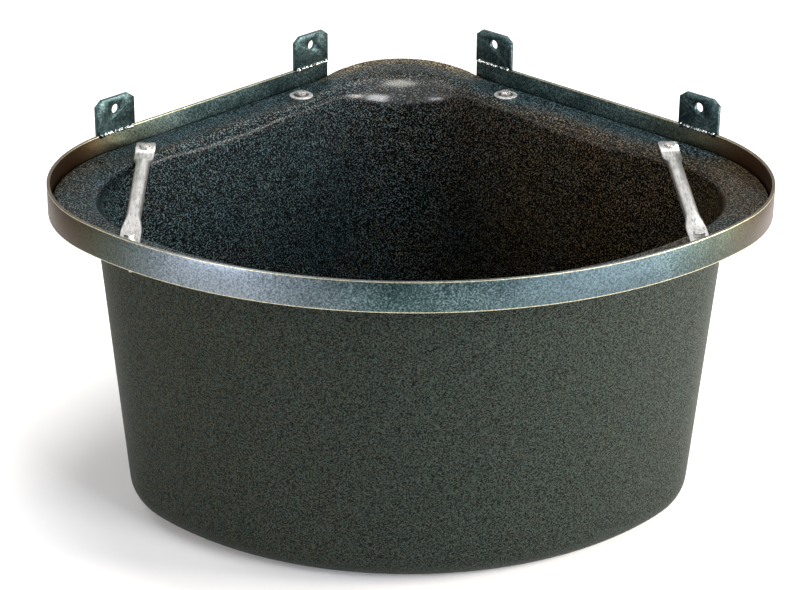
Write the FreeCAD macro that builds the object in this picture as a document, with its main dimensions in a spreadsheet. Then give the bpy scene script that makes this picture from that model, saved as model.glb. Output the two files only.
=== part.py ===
import FreeCAD, Part
import math
import os
import Sketcher

# Corner manger: a moulded tub hung in a rolled steel angle that fits a square wall corner.
# X runs across the manger, Y points to the wall corner, Z points up, all in millimetres.
# The origin is on the floor, in the middle of the manger's outer box.

Vector = FreeCAD.Vector
UP = Vector(0, 0, 1)
ROOT_TWO = math.sqrt(2)
QUARTER = math.pi / 2
FULL_TURN = 360.0
# Each wall runs at half a right angle to the manger's centre plane.
WALL_ANGLE = 45.0
WALL_TURN = math.radians(WALL_ANGLE)
RIGHT = 1
LEFT = -1
SIDES = {"left": LEFT, "right": RIGHT}
# How closely two places must agree to count as one, in millimetres.
NEAR = 1e-3

DRIVING_SIZES = {
    # plan of the rim, seen from above
    "wall_reach": 600.0,
    "side_radius": 172.0,
    "front_radius": 412.0,
    "corner_gap": 118.0,
    # rolled steel angle
    "steel_thickness": 3.0,
    "band_height": 30.0,
    "ledge_width": 40.0,
    "root_radius": 3.0,
    # moulded tub
    "tub_height": 326.5,
    "tub_wall": 5.0,
    "tub_floor": 6.0,
    "tub_draft": 4.9,
    "tub_inset": 44.0,
    "tub_corner_radius": 105.0,
    "bottom_radius": 36.0,
    "flange_thickness": 8.4,
    "flange_edge_radius": 2.5,
    "flange_clearance": 1.0,
    "rim_corner_radius": 78.0,
    "crown_rise": 4.6,
    "crown_plateau": 66.0,
    "crown_half_width": 95.0,
    "lip_roll": 9.0,
    "corner_roll": 34.0,
    "flange_root": 2.0,
    "corner_root": 16.0,
    # screw holes, set in from the rim's outer face
    "corner_screw_inset": 27.5,
    "corner_screw_reach": 182.5,
    "bar_screw_inset": 31.5,
    "screw_hole": 7.0,
    # tabs that stand against the walls
    "tab_width": 50.0,
    "tab_height": 36.5,
    "tab_thickness": 4.0,
    "tab_corner_width": 8.0,
    "tab_corner_drop": 6.0,
    "tab_hole": 10.0,
    "tab_hole_height": 23.6,
    "tab_setback": 7.0,
    # weld beads
    "weld_leg": 4.0,
    "weld_radius": 6.5,
    "weld_margin": 2.0,
    # side bars, tubes with pressed ends
    "bar_inset": 87.0,
    "tube_diameter": 14.0,
    "pressed_width": 20.0,
    "pressed_thickness": 3.2,
    "pressed_margin": 16.5,
    "pressed_corner": 4.0,
    "rear_past_lip": 12.5,
    "rear_ramp": 18.0,
    "front_past_lip": 4.5,
    "front_ramp": 36.0,
    # screws, nuts and washers
    "screw_diameter": 6.0,
    "screw_length": 35.0,
    "screw_point": 1.0,
    "head_flats": 10.0,
    "head_height": 4.0,
    "nut_flats": 10.0,
    "nut_height": 5.0,
    "corner_bevel": 30.0,
    "thread_clearance": 0.1,
    "washer_diameter": 25.0,
    "washer_thickness": 1.5,
    "washer_clearance": 0.2,
}

doc = FreeCAD.newDocument("corner_manger")
sheet = doc.addObject("Spreadsheet::Sheet", "sizes")
for row, (alias, value) in enumerate(DRIVING_SIZES.items(), start=1):
    sheet.set("A%d" % row, alias)
    sheet.set("B%d" % row, str(value))
    sheet.setAlias("B%d" % row, alias)
doc.recompute()


def value_of(expression):
    """What an expression of the driving sizes comes to."""
    return float(sheet.evalExpression(expression))


# Heights and depths that several pieces share, as expressions of the driving sizes.
LEDGE_TOP = "sizes.tub_height"
LEDGE_UNDERSIDE = "(sizes.tub_height - sizes.steel_thickness)"
RIM_TOP = "(sizes.tub_height - sizes.steel_thickness + sizes.band_height)"
FLANGE_TOP = "(sizes.tub_height + sizes.flange_thickness)"
BAR_TOP = FLANGE_TOP + " + sizes.pressed_thickness"
WASHER_TOP = FLANGE_TOP + " + sizes.washer_thickness"
CROWN_TOP = "(sizes.flange_thickness + sizes.crown_rise)"
ABOVE_CROWN = "(sizes.flange_thickness + 2 * sizes.crown_rise)"
FLANGE_INSET = "(sizes.steel_thickness + sizes.flange_clearance)"
LEG_END = "(sizes.wall_reach - sizes.side_radius)"
SIDE_CENTRE_X = "((sizes.wall_reach - 2 * sizes.side_radius) / sqrt(2))"
SIDE_CENTRE_Y = "(-sizes.wall_reach / sqrt(2))"
FRONT_CENTRE_Y = (
    "(sqrt((sizes.front_radius - sizes.side_radius) ^ 2 - %s ^ 2) + %s)"
    % (SIDE_CENTRE_X, SIDE_CENTRE_Y)
)
FRONT_Y = "(%s - sizes.front_radius)" % FRONT_CENTRE_Y
BACK_Y = (
    "(sizes.rim_corner_radius - (%s + sizes.rim_corner_radius) * sqrt(2))" % FLANGE_INSET
)
# The wall corner's place in front of and behind the origin.
CORNER_Y = "(-(%s + %s) / 2)" % (FRONT_Y, BACK_Y)

leg_end = value_of(LEG_END)
side_centre = Vector(value_of(SIDE_CENTRE_X), value_of(SIDE_CENTRE_Y), 0)
front_centre = Vector(0, value_of(FRONT_CENTRE_Y), 0)
draft_slope = value_of("tan(sizes.tub_draft * 1 deg)")

# The bars stand in from the manger's sides. They cross from a wall leg to the bowed front.
BAR_X = "(%s + sizes.side_radius - sizes.bar_inset)" % SIDE_CENTRE_X
LIP_INSET = "(sizes.tub_inset + sizes.tub_wall - sizes.lip_roll)"


def on_leg(inset):
    """Where a bar's centre line crosses a line set in from the wall, as an expression."""
    return "(-%s - %s * sqrt(2))" % (BAR_X, inset)


def on_front(inset):
    """Where a bar's centre line crosses a line set in from the bowed front, as an expression."""
    return "(%s - sqrt((sizes.front_radius - %s) ^ 2 - %s ^ 2))" % (FRONT_CENTRE_Y, inset, BAR_X)


BAR_REAR_Y = on_leg("sizes.bar_screw_inset")
BAR_FRONT_Y = on_front("sizes.bar_screw_inset")
BAR_LENGTH = "(%s - %s)" % (BAR_REAR_Y, BAR_FRONT_Y)
# A bar's pressed ends lie flat on the flange and reach past its lip.
REAR_FLAT = "(%s - %s + sizes.rear_past_lip)" % (BAR_REAR_Y, on_leg(LIP_INSET))
FRONT_FLAT = "(%s - %s + sizes.front_past_lip)" % (on_front(LIP_INSET), BAR_FRONT_Y)
CORNER_SCREW_X = "((sizes.corner_screw_reach - sizes.corner_screw_inset) / sqrt(2))"
CORNER_SCREW_Y = "(-(sizes.corner_screw_reach + sizes.corner_screw_inset) / sqrt(2))"
SCREW_LINE = {
    "bar_rear": (BAR_X, BAR_REAR_Y),
    "bar_front": (BAR_X, BAR_FRONT_Y),
    "corner": (CORNER_SCREW_X, CORNER_SCREW_Y),
}

# Ends of a line or arc, and the sketch's own axes, as a sketch counts them.
START, END, CENTRE = range(1, 4)
X_AXIS, Y_AXIS = (-1, -2)
ORIGIN = (-1, 1)


def wall_point(along, inset, side):
    """Point at a distance along a wall from the corner, and inset from that wall."""
    return Vector(side * (along - inset) / ROOT_TWO, -(along + inset) / ROOT_TWO, 0)


def middle_of(edge):
    return edge.valueAt((edge.FirstParameter + edge.LastParameter) / 2)


def new_body(label):
    body = doc.addObject("PartDesign::Body", label)
    body.Label = label
    return body


def new_sketch(body, name, role="XY_Plane", offset=None):
    """Sketch on an origin plane of its own body, lifted off it by an expression."""
    plane = next(item for item in body.Origin.OriginFeatures if item.Role == role)
    sketch = body.newObject("Sketcher::SketchObject", name)
    sketch.AttachmentSupport = [(plane, "")]
    sketch.MapMode = "FlatFace"
    if offset:
        sketch.setExpression("AttachmentOffset.Base.z", offset)
    return sketch


def limit(sketch, kind, *where):
    sketch.addConstraint(Sketcher.Constraint(kind, *where))


def tangent(sketch, first, first_end, second, second_end):
    limit(sketch, "Tangent", first, first_end, second, second_end)


def bind(sketch, name, expression, kind, *where):
    """Add a dimension to a sketch and tie it to the driving sizes."""
    constraint = Sketcher.Constraint(kind, *where, value_of(expression))
    sketch.renameConstraint(sketch.addConstraint(constraint), name)
    sketch.setExpression("Constraints." + name, expression)


def pin(sketch, name, axis, expression, geometry, end):
    """Tie one coordinate of a point in a sketch to the driving sizes."""
    if expression == "0":
        limit(sketch, "PointOnObject", geometry, end, Y_AXIS if axis == "X" else X_AXIS)
    else:
        bind(sketch, "%s_%s" % (name, axis.lower()), expression, "Distance" + axis, *ORIGIN, geometry, end)


def outline(sketch, points):
    """Closed outline of straight lines through points, each joined to the next."""
    lines = [Part.LineSegment(*pair) for pair in zip(points, points[1:] + points[:1])]
    numbers = sketch.addGeometry(lines, False)
    for here, following in zip(numbers, numbers[1:] + numbers[:1]):
        limit(sketch, "Coincident", here, END, following, START)
    return numbers


def polygon(sketch, name, corners):
    """Closed outline whose corners are pairs of expressions of the driving sizes."""
    points = [Vector(value_of(x), value_of(y), 0) for x, y in corners]
    for index, (number, corner) in enumerate(zip(outline(sketch, points), corners)):
        for axis, expression in zip("XY", corner):
            pin(sketch, "%s_%d" % (name, index), axis, expression, number, START)


def circle_in(sketch, name, centre, diameter):
    """Circle whose centre and diameter are expressions of the driving sizes."""
    x, y = (value_of(expression) for expression in centre)
    circle = sketch.addGeometry(Part.Circle(Vector(x, y, 0), UP, value_of(diameter) / 2), False)
    bind(sketch, name + "_diameter", diameter, "Diameter", circle)
    for axis, expression in zip("XY", centre):
        pin(sketch, name, axis, expression, circle, CENTRE)


def pad(body, name, sketch, length, reversed_way=False, midplane=False):
    feature = body.newObject("PartDesign::Pad", name)
    feature.Profile = sketch
    feature.setExpression("Length", length)
    feature.Reversed = reversed_way
    feature.Midplane = midplane
    body.Tip = feature
    return feature


def pocket(body, name, sketch, midplane=True):
    """Cut a sketch through the whole body."""
    feature = body.newObject("PartDesign::Pocket", name)
    feature.Profile = sketch
    feature.Type = "ThroughAll"
    feature.Midplane = midplane
    feature.Refine = False
    body.Tip = feature
    return feature


def turned(body, kind, name, sketch):
    """Turn a half section all the way round the sketch's upright axis."""
    feature = body.newObject(kind, name)
    feature.Profile = sketch
    feature.ReferenceAxis = (sketch, ["V_Axis"])
    feature.Angle = FULL_TURN
    body.Tip = feature


def loft(body, kind, name, first, last):
    feature = body.newObject(kind, name)
    feature.Profile = first
    feature.Sections = [last]
    feature.Ruled = True
    feature.Refine = False
    return feature


def fillet(body, name, base, edges, radius):
    """Round the numbered edges of a feature by a driving size."""
    feature = body.newObject("PartDesign::Fillet", name)
    feature.Base = (base, ["Edge%d" % index for index in edges])
    feature.setExpression("Radius", radius)
    feature.Refine = False
    doc.recompute()
    return feature


def place(item, x="0", y="0", z="0", turn=0.0):
    """Put a sub-part at its place in the manger, turned about the upright axis."""
    item.Placement = FreeCAD.Placement(Vector(), FreeCAD.Rotation(UP, turn))
    item.setExpression("Placement.Base.x", x)
    item.setExpression("Placement.Base.y", y)
    item.setExpression("Placement.Base.z", z)


def rim_chain(sketch, name, inset, leg_start):
    """Wall leg, side corner, bowed front, side corner and wall leg, set in from the rim.

    inset is an expression, and leg_start is where each leg starts, measured along its wall.
    """
    depth = value_of(inset)
    side_angle = math.atan2(side_centre.y - front_centre.y, side_centre.x)
    other_centre = Vector(-side_centre.x, side_centre.y, 0)
    legs = [
        Part.LineSegment(wall_point(leg_start, depth, side), wall_point(leg_end, depth, side))
        for side in (RIGHT, LEFT)
    ]
    side_r = "(sizes.side_radius - %s)" % inset
    front_r = "(sizes.front_radius - %s)" % inset

    def arc(centre, radius, first, last):
        return Part.ArcOfCircle(Part.Circle(centre, UP, value_of(radius)), first, last)

    right_leg, right_arc, front_arc, left_arc, left_leg = sketch.addGeometry([
        legs[0],
        arc(side_centre, side_r, side_angle, WALL_TURN),
        arc(front_centre, front_r, -math.pi - side_angle, side_angle),
        arc(other_centre, side_r, math.pi - WALL_TURN, math.pi - side_angle),
        legs[1],
    ], False)
    tangent(sketch, right_leg, END, right_arc, END)
    tangent(sketch, right_arc, START, front_arc, END)
    tangent(sketch, front_arc, START, left_arc, END)
    tangent(sketch, left_arc, START, left_leg, END)
    limit(sketch, "Angle", right_leg, -WALL_TURN)
    limit(sketch, "Angle", left_leg, WALL_TURN - math.pi)
    for side_name, side_arc, leg in (("right", right_arc, right_leg), ("left", left_arc, left_leg)):
        label = "%s_%s" % (name, side_name)
        bind(sketch, label + "_radius", side_r, "Radius", side_arc)
        pin(sketch, label, "X", "%d * %s" % (SIDES[side_name], SIDE_CENTRE_X), side_arc, CENTRE)
        if depth == 0:
            limit(sketch, "PointOnObject", *ORIGIN, leg)
        else:
            bind(sketch, label + "_inset", inset, "Distance", *ORIGIN, leg)
    bind(sketch, name + "_front_radius", front_r, "Radius", front_arc)
    return right_leg, left_leg


def closed_plan(sketch, name, inset, corner_radius):
    """Closed plan of the tub: the rim chain with its wall corner rounded in two halves."""
    radius = value_of(corner_radius)
    reach = value_of(inset) + radius
    right_leg, left_leg = rim_chain(sketch, name, inset, reach)
    corner = Part.Circle(Vector(0, -reach * ROOT_TWO, 0), UP, radius)
    halves = ((WALL_TURN, QUARTER), (QUARTER, math.pi - WALL_TURN))
    right_half, left_half = sketch.addGeometry([Part.ArcOfCircle(corner, *ends) for ends in halves], False)
    tangent(sketch, right_half, START, right_leg, START)
    tangent(sketch, right_half, END, left_half, START)
    tangent(sketch, left_half, END, left_leg, START)
    limit(sketch, "PointOnObject", right_half, END, Y_AXIS)
    bind(sketch, name + "_right_corner", corner_radius, "Radius", right_half)
    bind(sketch, name + "_left_corner", corner_radius, "Radius", left_half)


def on_plan(point, inset, corner_radius):
    """Whether a point lies on the closed plan with this inset and corner radius."""
    x = abs(point.x)
    y = point.y
    along = (x - y) / ROOT_TWO
    off_wall = (-x - y) / ROOT_TWO
    reach = inset + corner_radius
    if along < reach:
        miss = math.hypot(x, y + reach * ROOT_TWO) - corner_radius
    elif along < leg_end:
        miss = off_wall - inset
    elif (y - front_centre.y) * side_centre.x < (side_centre.y - front_centre.y) * x:
        miss = math.hypot(x, y - front_centre.y) - (value_of("sizes.front_radius") - inset)
    else:
        miss = math.hypot(x - side_centre.x, y - side_centre.y) - (value_of("sizes.side_radius") - inset)
    return abs(miss) < NEAR


def angle_leg(sketch, name, width):
    """Plan of one leg of the angle: its outer line, its inner line and two square ends."""
    start = value_of("sizes.corner_gap")
    outer_legs = rim_chain(sketch, name + "_outer", "0", start)
    inner_legs = rim_chain(sketch, name + "_inner", width, start)
    for side_name, outer, inner in zip(("right", "left"), outer_legs, inner_legs):
        ends = [wall_point(start, inset, SIDES[side_name]) for inset in (0.0, value_of(width))]
        end_line = sketch.addGeometry(Part.LineSegment(*ends), False)
        limit(sketch, "Coincident", end_line, START, outer, START)
        limit(sketch, "Coincident", end_line, END, inner, START)
        limit(sketch, "Perpendicular", end_line, outer)
        gap_name = "%s_%s_gap" % (name, side_name)
        bind(sketch, gap_name, "sizes.corner_gap", "Distance", *ORIGIN, outer, START)


def screw_holes(body):
    """The six holes that the rim and the tub's flange share."""
    sketch = new_sketch(body, body.Name + "_holes")
    for name, (x, y) in SCREW_LINE.items():
        for side_name, side in SIDES.items():
            centre = ("%d * %s" % (side, x), y)
            circle_in(sketch, "%s_%s" % (name, side_name), centre, "sizes.screw_hole")
    return pocket(body, body.Name + "_hole_cut", sketch)


def level_edges(shape, height):
    """Numbers of the edges that lie flat at one height, each with its edge."""
    found = []
    for index, edge in enumerate(shape.Edges, start=1):
        ends = [edge.valueAt(edge.FirstParameter), edge.valueAt(edge.LastParameter)]
        if all(abs(point.z - height) < NEAR for point in ends):
            found.append((index, edge))
    return found


# Tub: drafted bowl, flat flange, and a crown that rises into the wall corner.
# Its own frame has the wall corner as origin and the flange's underside as the XY plane.


def bowl_section(body, name, height, wall):
    """Plan of the bowl at a height, with wall taken off for its inside."""
    lean = "%s * tan(sizes.tub_draft * 1 deg)" % height
    sketch = new_sketch(body, name, offset=height)
    closed_plan(
        sketch, name,
        "(sizes.tub_inset + %s - %s)" % (wall, lean),
        "(sizes.tub_corner_radius - %s + %s)" % (wall, lean),
    )
    return sketch


def tub():
    body = new_body("tub_blank")
    top = bowl_section(body, "bowl_top", "0", "0")
    bottom = bowl_section(body, "bowl_bottom", "(-sizes.tub_height)", "0")
    loft(body, "PartDesign::AdditiveLoft", "bowl", top, bottom)

    plan = new_sketch(body, "flange_plan")
    closed_plan(plan, "flange", FLANGE_INSET, "sizes.rim_corner_radius")
    flange = pad(body, "flange", plan, CROWN_TOP)
    flange.Refine = False
    doc.recompute()

    trimmed = crown_trim(body)
    doc.recompute()
    rounded = flange_edges(trimmed.Shape)
    fillet(body, "flange_edge", trimmed, rounded, "sizes.flange_edge_radius")

    floor_level = "(sizes.tub_floor - sizes.tub_height)"
    cavity_top = bowl_section(body, "cavity_top", ABOVE_CROWN, "sizes.tub_wall")
    cavity_floor = bowl_section(body, "cavity_floor", floor_level, "sizes.tub_wall")
    cavity = loft(body, "PartDesign::SubtractiveLoft", "cavity", cavity_top, cavity_floor)
    doc.recompute()
    inner_foot = [index for index, edge in level_edges(cavity.Shape, value_of(floor_level))]
    inside = fillet(body, "cavity_foot", cavity, inner_foot, "sizes.bottom_radius - sizes.tub_wall")
    foot = [index for index, edge in level_edges(inside.Shape, value_of("-sizes.tub_height"))]
    fillet(body, "bowl_foot", inside, foot, "sizes.bottom_radius")
    screw_holes(body)
    place(body, y=CORNER_Y, z=LEDGE_TOP)
    doc.recompute()
    return lip_roll(body)


def crown_trim(body):
    """Trim the flange's top to its flat height, with a soft rise up to the wall corner."""
    profile = new_sketch(body, "crown_profile", role="XZ_Plane")
    crown_profile(profile)
    pocket(body, "crown", profile)

    # The crown belongs to the wall corner alone, so the rest of the flange is cut flat.
    level = new_sketch(body, "flange_level", offset="sizes.flange_thickness")
    near_y = "-sizes.wall_reach / 2"
    far_y = "-2 * sizes.wall_reach"
    polygon(level, "level", [
        ("-sizes.wall_reach", near_y), ("sizes.wall_reach", near_y),
        ("sizes.wall_reach", far_y), ("-sizes.wall_reach", far_y),
    ])
    cut = pocket(body, "flange_top", level, midplane=False)
    cut.Reversed = True
    return cut


def crown_profile(sketch):
    """Front view of all that is cut from the flange's top: its flats, two rises and a plateau."""
    flat = value_of("sizes.flange_thickness")
    rise = value_of("sizes.crown_rise")
    outer = value_of("sizes.crown_half_width")
    inner = value_of("sizes.crown_plateau")
    far = value_of("sizes.wall_reach")
    high = value_of(ABOVE_CROWN)
    # Each rise is two equal arcs that bend up and then over, and meet halfway at one slope.
    run = outer - inner
    bend = (run ** 2 + rise ** 2) / 4 / rise
    swing = math.asin(run / 2 / bend)

    plateau = sketch.addGeometry(
        Part.LineSegment(Vector(inner, flat + rise, 0), Vector(-inner, flat + rise, 0)), False,
    )
    walls = []
    for side_name, side in SIDES.items():
        lower_circle = Part.Circle(Vector(side * outer, flat + bend, 0), UP, bend)
        upper_circle = Part.Circle(Vector(side * inner, flat + rise - bend, 0), UP, bend)
        lower_ends = sorted((-QUARTER, -QUARTER - side * swing))
        upper_ends = sorted((QUARTER, QUARTER - side * swing))
        low = Vector(side * outer, flat, 0)
        foot = Vector(side * far, flat, 0)
        lower, upper, level, wall = sketch.addGeometry([
            Part.ArcOfCircle(lower_circle, *lower_ends),
            Part.ArcOfCircle(upper_circle, *upper_ends),
            Part.LineSegment(low, foot),
            Part.LineSegment(foot, Vector(side * far, high, 0)),
        ], False)
        outer_end, middle_end = (END, START) if side == RIGHT else (START, END)
        plateau_end = START if side == RIGHT else END
        tangent(sketch, lower, outer_end, level, START)
        tangent(sketch, lower, middle_end, upper, middle_end)
        tangent(sketch, upper, outer_end, plateau, plateau_end)
        limit(sketch, "Equal", lower, upper)
        limit(sketch, "Coincident", level, END, wall, START)
        limit(sketch, "Horizontal", level)
        limit(sketch, "Vertical", wall)
        pin(sketch, side_name + "_low", "X", "%d * sizes.crown_half_width" % side, level, START)
        pin(sketch, side_name + "_low", "Y", "sizes.flange_thickness", level, START)
        pin(sketch, side_name + "_high", "X", "%d * sizes.crown_plateau" % side, plateau, plateau_end)
        pin(sketch, side_name + "_high", "Y", CROWN_TOP, plateau, plateau_end)
        pin(sketch, side_name + "_far", "X", "%d * sizes.wall_reach" % side, level, END)
        pin(sketch, side_name + "_top", "Y", ABOVE_CROWN, wall, END)
        walls.append(wall)
    ends = [Vector(side * far, high, 0) for side in SIDES.values()]
    lid = sketch.addGeometry(Part.LineSegment(*ends), False)
    limit(sketch, "Coincident", lid, START, walls[0], END)
    limit(sketch, "Coincident", lid, END, walls[1], END)


def flange_edges(shape):
    """Outer edges of the flange, top and bottom, that are rounded in moulding."""
    inset = value_of(FLANGE_INSET)
    corner_radius = value_of("sizes.rim_corner_radius")
    upright = value_of("sizes.flange_thickness") / 2
    found = []
    for index, edge in enumerate(shape.Edges, start=1):
        heights = [vertex.Point.z for vertex in edge.Vertexes]
        if min(heights) < -NEAR or max(heights) - min(heights) > upright:
            continue
        if on_plan(middle_of(edge), inset, corner_radius):
            found.append(index)
    return found


def widening(edge, expressions):
    """Radii at an edge's two ends: wide in the wall corner and narrow from a reach outwards."""
    reach, wide, narrow = (value_of(expression) for expression in expressions)
    shares = [min(abs(vertex.Point.x) / reach, 1.0) for vertex in (edge.Vertexes[0], edge.Vertexes[-1])]
    return [wide + (narrow - wide) * share for share in shares]


def lip_roll(blank):
    """Roll the flange over into the bowl, wider towards the wall corner, and round it below to match."""
    lip_sizes = ["sizes.crown_half_width", "sizes.corner_roll", "sizes.lip_roll"]
    root_sizes = ["sizes.tub_corner_radius / sqrt(2)", "sizes.corner_root", "sizes.flange_root"]
    inset, corner = (value_of(name) for name in ("sizes.tub_inset", "sizes.tub_corner_radius"))
    wall = value_of("sizes.tub_wall")
    base = blank.Placement.Base
    flange_top = base.z + value_of("sizes.flange_thickness")

    table = []
    for index, edge in enumerate(blank.Shape.Edges, start=1):
        middle = middle_of(edge) - base
        lean = middle.z * draft_slope
        if min(vertex.Point.z for vertex in edge.Vertexes) > flange_top - NEAR:
            if on_plan(middle, inset + wall - lean, corner - wall + lean):
                table.append((index, *widening(edge, lip_sizes)))
        elif abs(middle.z) < NEAR and on_plan(middle, inset, corner):
            table.append((index, *widening(edge, root_sizes)))
    rolled = doc.addObject("Part::Fillet", "tub")
    rolled.Label = "tub"
    rolled.Base = blank
    rolled.Edges = table
    doc.recompute()
    return rolled


# Rim: a steel angle rolled to the plan, its ledge under the tub's flange, its band outside it.


def rim_angle():
    body = new_body("rim_angle")
    ledge_plan = new_sketch(body, "ledge_plan")
    angle_leg(ledge_plan, "ledge", "sizes.ledge_width")
    pad(body, "ledge", ledge_plan, "sizes.steel_thickness", reversed_way=True)
    band_plan = new_sketch(body, "band_plan", offset="-sizes.steel_thickness")
    angle_leg(band_plan, "band", "sizes.steel_thickness")
    band = pad(body, "band", band_plan, "sizes.band_height")
    doc.recompute()
    root = [
        index for index, edge in level_edges(band.Shape, 0.0)
        if on_plan(middle_of(edge), value_of("sizes.steel_thickness"), 0.0)
    ]
    fillet(body, "root", band, root, "sizes.root_radius")
    screw_holes(body)
    place(body, y=CORNER_Y, z=LEDGE_TOP)
    return body


# Wall tabs: flat bars that stand on the band's top edge, flush with its outer face.


def wall_tab(name):
    """Tab in its own frame: X along the wall, Y into the wall, Z up, hole at mid width."""
    body = new_body("wall_tab_" + name)
    face = new_sketch(body, "tab_face_" + name, role="XZ_Plane")
    edge_x = "sizes.tab_width / 2"
    clip_x = "(sizes.tab_width / 2 - sizes.tab_corner_width)"
    clip_z = "sizes.tab_height - sizes.tab_corner_drop"
    polygon(face, "tab", [
        ("-" + edge_x, "0"), (edge_x, "0"), (edge_x, clip_z),
        (clip_x, "sizes.tab_height"), ("-" + clip_x, "sizes.tab_height"), ("-" + edge_x, clip_z),
    ])
    circle_in(face, "hole", ("0", "sizes.tab_hole_height"), "sizes.tab_hole")
    pad(body, "tab_plate_" + name, face, "sizes.tab_thickness")
    return body


def tab_weld(name):
    """Bead along a tab's foot, in the tab's own frame, rounded between its two toes."""
    body = new_body("bead_blank_" + name)
    section = new_sketch(body, "weld_section_" + name, role="YZ_Plane")
    corners = [
        ("-sizes.steel_thickness", "-sizes.weld_leg"), ("-sizes.steel_thickness", "0"),
        ("-sizes.tab_thickness", "0"), ("-sizes.tab_thickness", "sizes.weld_leg"),
    ]
    foot, step, under, head = (Vector(value_of(y), value_of(z), 0) for y, z in corners)
    pairs = ((foot, step), (step, under), (under, head))
    lines = section.addGeometry([Part.LineSegment(*pair) for pair in pairs], False)
    limit(section, "Coincident", lines[0], END, lines[1], START)
    limit(section, "Coincident", lines[1], END, lines[2], START)
    spots = [(line, START) for line in lines] + [(lines[-1], END)]
    for index, (spot, (y, z)) in enumerate(zip(spots, corners)):
        pin(section, "corner_%d" % index, "X", y, *spot)
        pin(section, "corner_%d" % index, "Y", z, *spot)

    # The bead's face is an arc from toe to toe, its centre on the steel's side of them.
    radius = value_of("sizes.weld_radius")
    chord = foot - head
    inward = Vector(-chord.y, chord.x, 0).normalize()
    centre = (foot + head) / 2 + inward * math.sqrt(radius ** 2 - (chord.Length / 2) ** 2)
    first, last = (math.atan2(toe.y - centre.y, toe.x - centre.x) % math.tau for toe in (head, foot))
    bead = section.addGeometry(Part.ArcOfCircle(Part.Circle(centre, UP, radius), first, last), False)
    limit(section, "Coincident", lines[2], END, bead, START)
    limit(section, "Coincident", lines[0], START, bead, END)
    bind(section, "bead_radius", "sizes.weld_radius", "Radius", bead)
    pad(body, "bead_" + name, section, "sizes.tab_width - 2 * sizes.weld_margin", midplane=True)
    return body


# Each wall carries an inner tab, flush with the rim's end, and an outer one near the leg's end.
INNER_TAB = "(sizes.corner_gap + sizes.tab_width / 2)"
OUTER_TAB = "(%s - sizes.tab_setback)" % LEG_END
TAB_PLACES = {"outer": OUTER_TAB, "inner": INNER_TAB}


def wall_tabs(rim):
    """Each tab with its bead, which is run onto the rim and takes the rim's curve."""
    pieces = []
    for side_name, side in SIDES.items():
        for place_name, along in TAB_PLACES.items():
            name = "%s_%s" % (side_name, place_name)
            x = "%d * %s / sqrt(2)" % (side, along)
            y = "%s - %s / sqrt(2)" % (CORNER_Y, along)
            tab = wall_tab(name)
            blank = tab_weld(name)
            for piece in (tab, blank):
                place(piece, x, y, RIM_TOP, -side * WALL_ANGLE)
            bead = doc.addObject("Part::Cut", "tab_weld_" + name)
            bead.Base = blank
            bead.Tool = rim
            pieces += [tab, bead]
    return pieces


# Side bars: round tube, its ends pressed flat and drilled for the screws.


def pressed_section(body, name, offset):
    """Flat section with round sides, across the bar, at a distance along it."""
    radius = value_of("sizes.pressed_thickness / 2")
    half = value_of("(sizes.pressed_width - sizes.pressed_thickness) / 2")
    sketch = new_sketch(body, name, role="XZ_Plane", offset=offset)
    right_circle, left_circle = (Part.Circle(Vector(x, 0, 0), UP, radius) for x in (half, -half))
    right, top, left, bottom = sketch.addGeometry([
        Part.ArcOfCircle(right_circle, -QUARTER, QUARTER),
        Part.LineSegment(Vector(half, radius, 0), Vector(-half, radius, 0)),
        Part.ArcOfCircle(left_circle, QUARTER, 3 * QUARTER),
        Part.LineSegment(Vector(-half, -radius, 0), Vector(half, -radius, 0)),
    ], False)
    for here, following in ((right, top), (top, left), (left, bottom), (bottom, right)):
        tangent(sketch, here, END, following, START)
    limit(sketch, "Horizontal", top)
    limit(sketch, "Equal", right, left)
    limit(sketch, "Symmetric", right, CENTRE, left, CENTRE, *ORIGIN)
    bind(sketch, "side_radius", "sizes.pressed_thickness / 2", "Radius", right)
    between = "sizes.pressed_width - sizes.pressed_thickness"
    bind(sketch, "centre_gap", between, "DistanceX", left, CENTRE, right, CENTRE)
    return sketch


def tube_section(body, name, offset):
    """Round section across the bar, at a distance along it."""
    sketch = new_sketch(body, name, role="XZ_Plane", offset=offset)
    circle_in(sketch, "tube", ("0", "0"), "sizes.tube_diameter")
    return sketch


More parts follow.
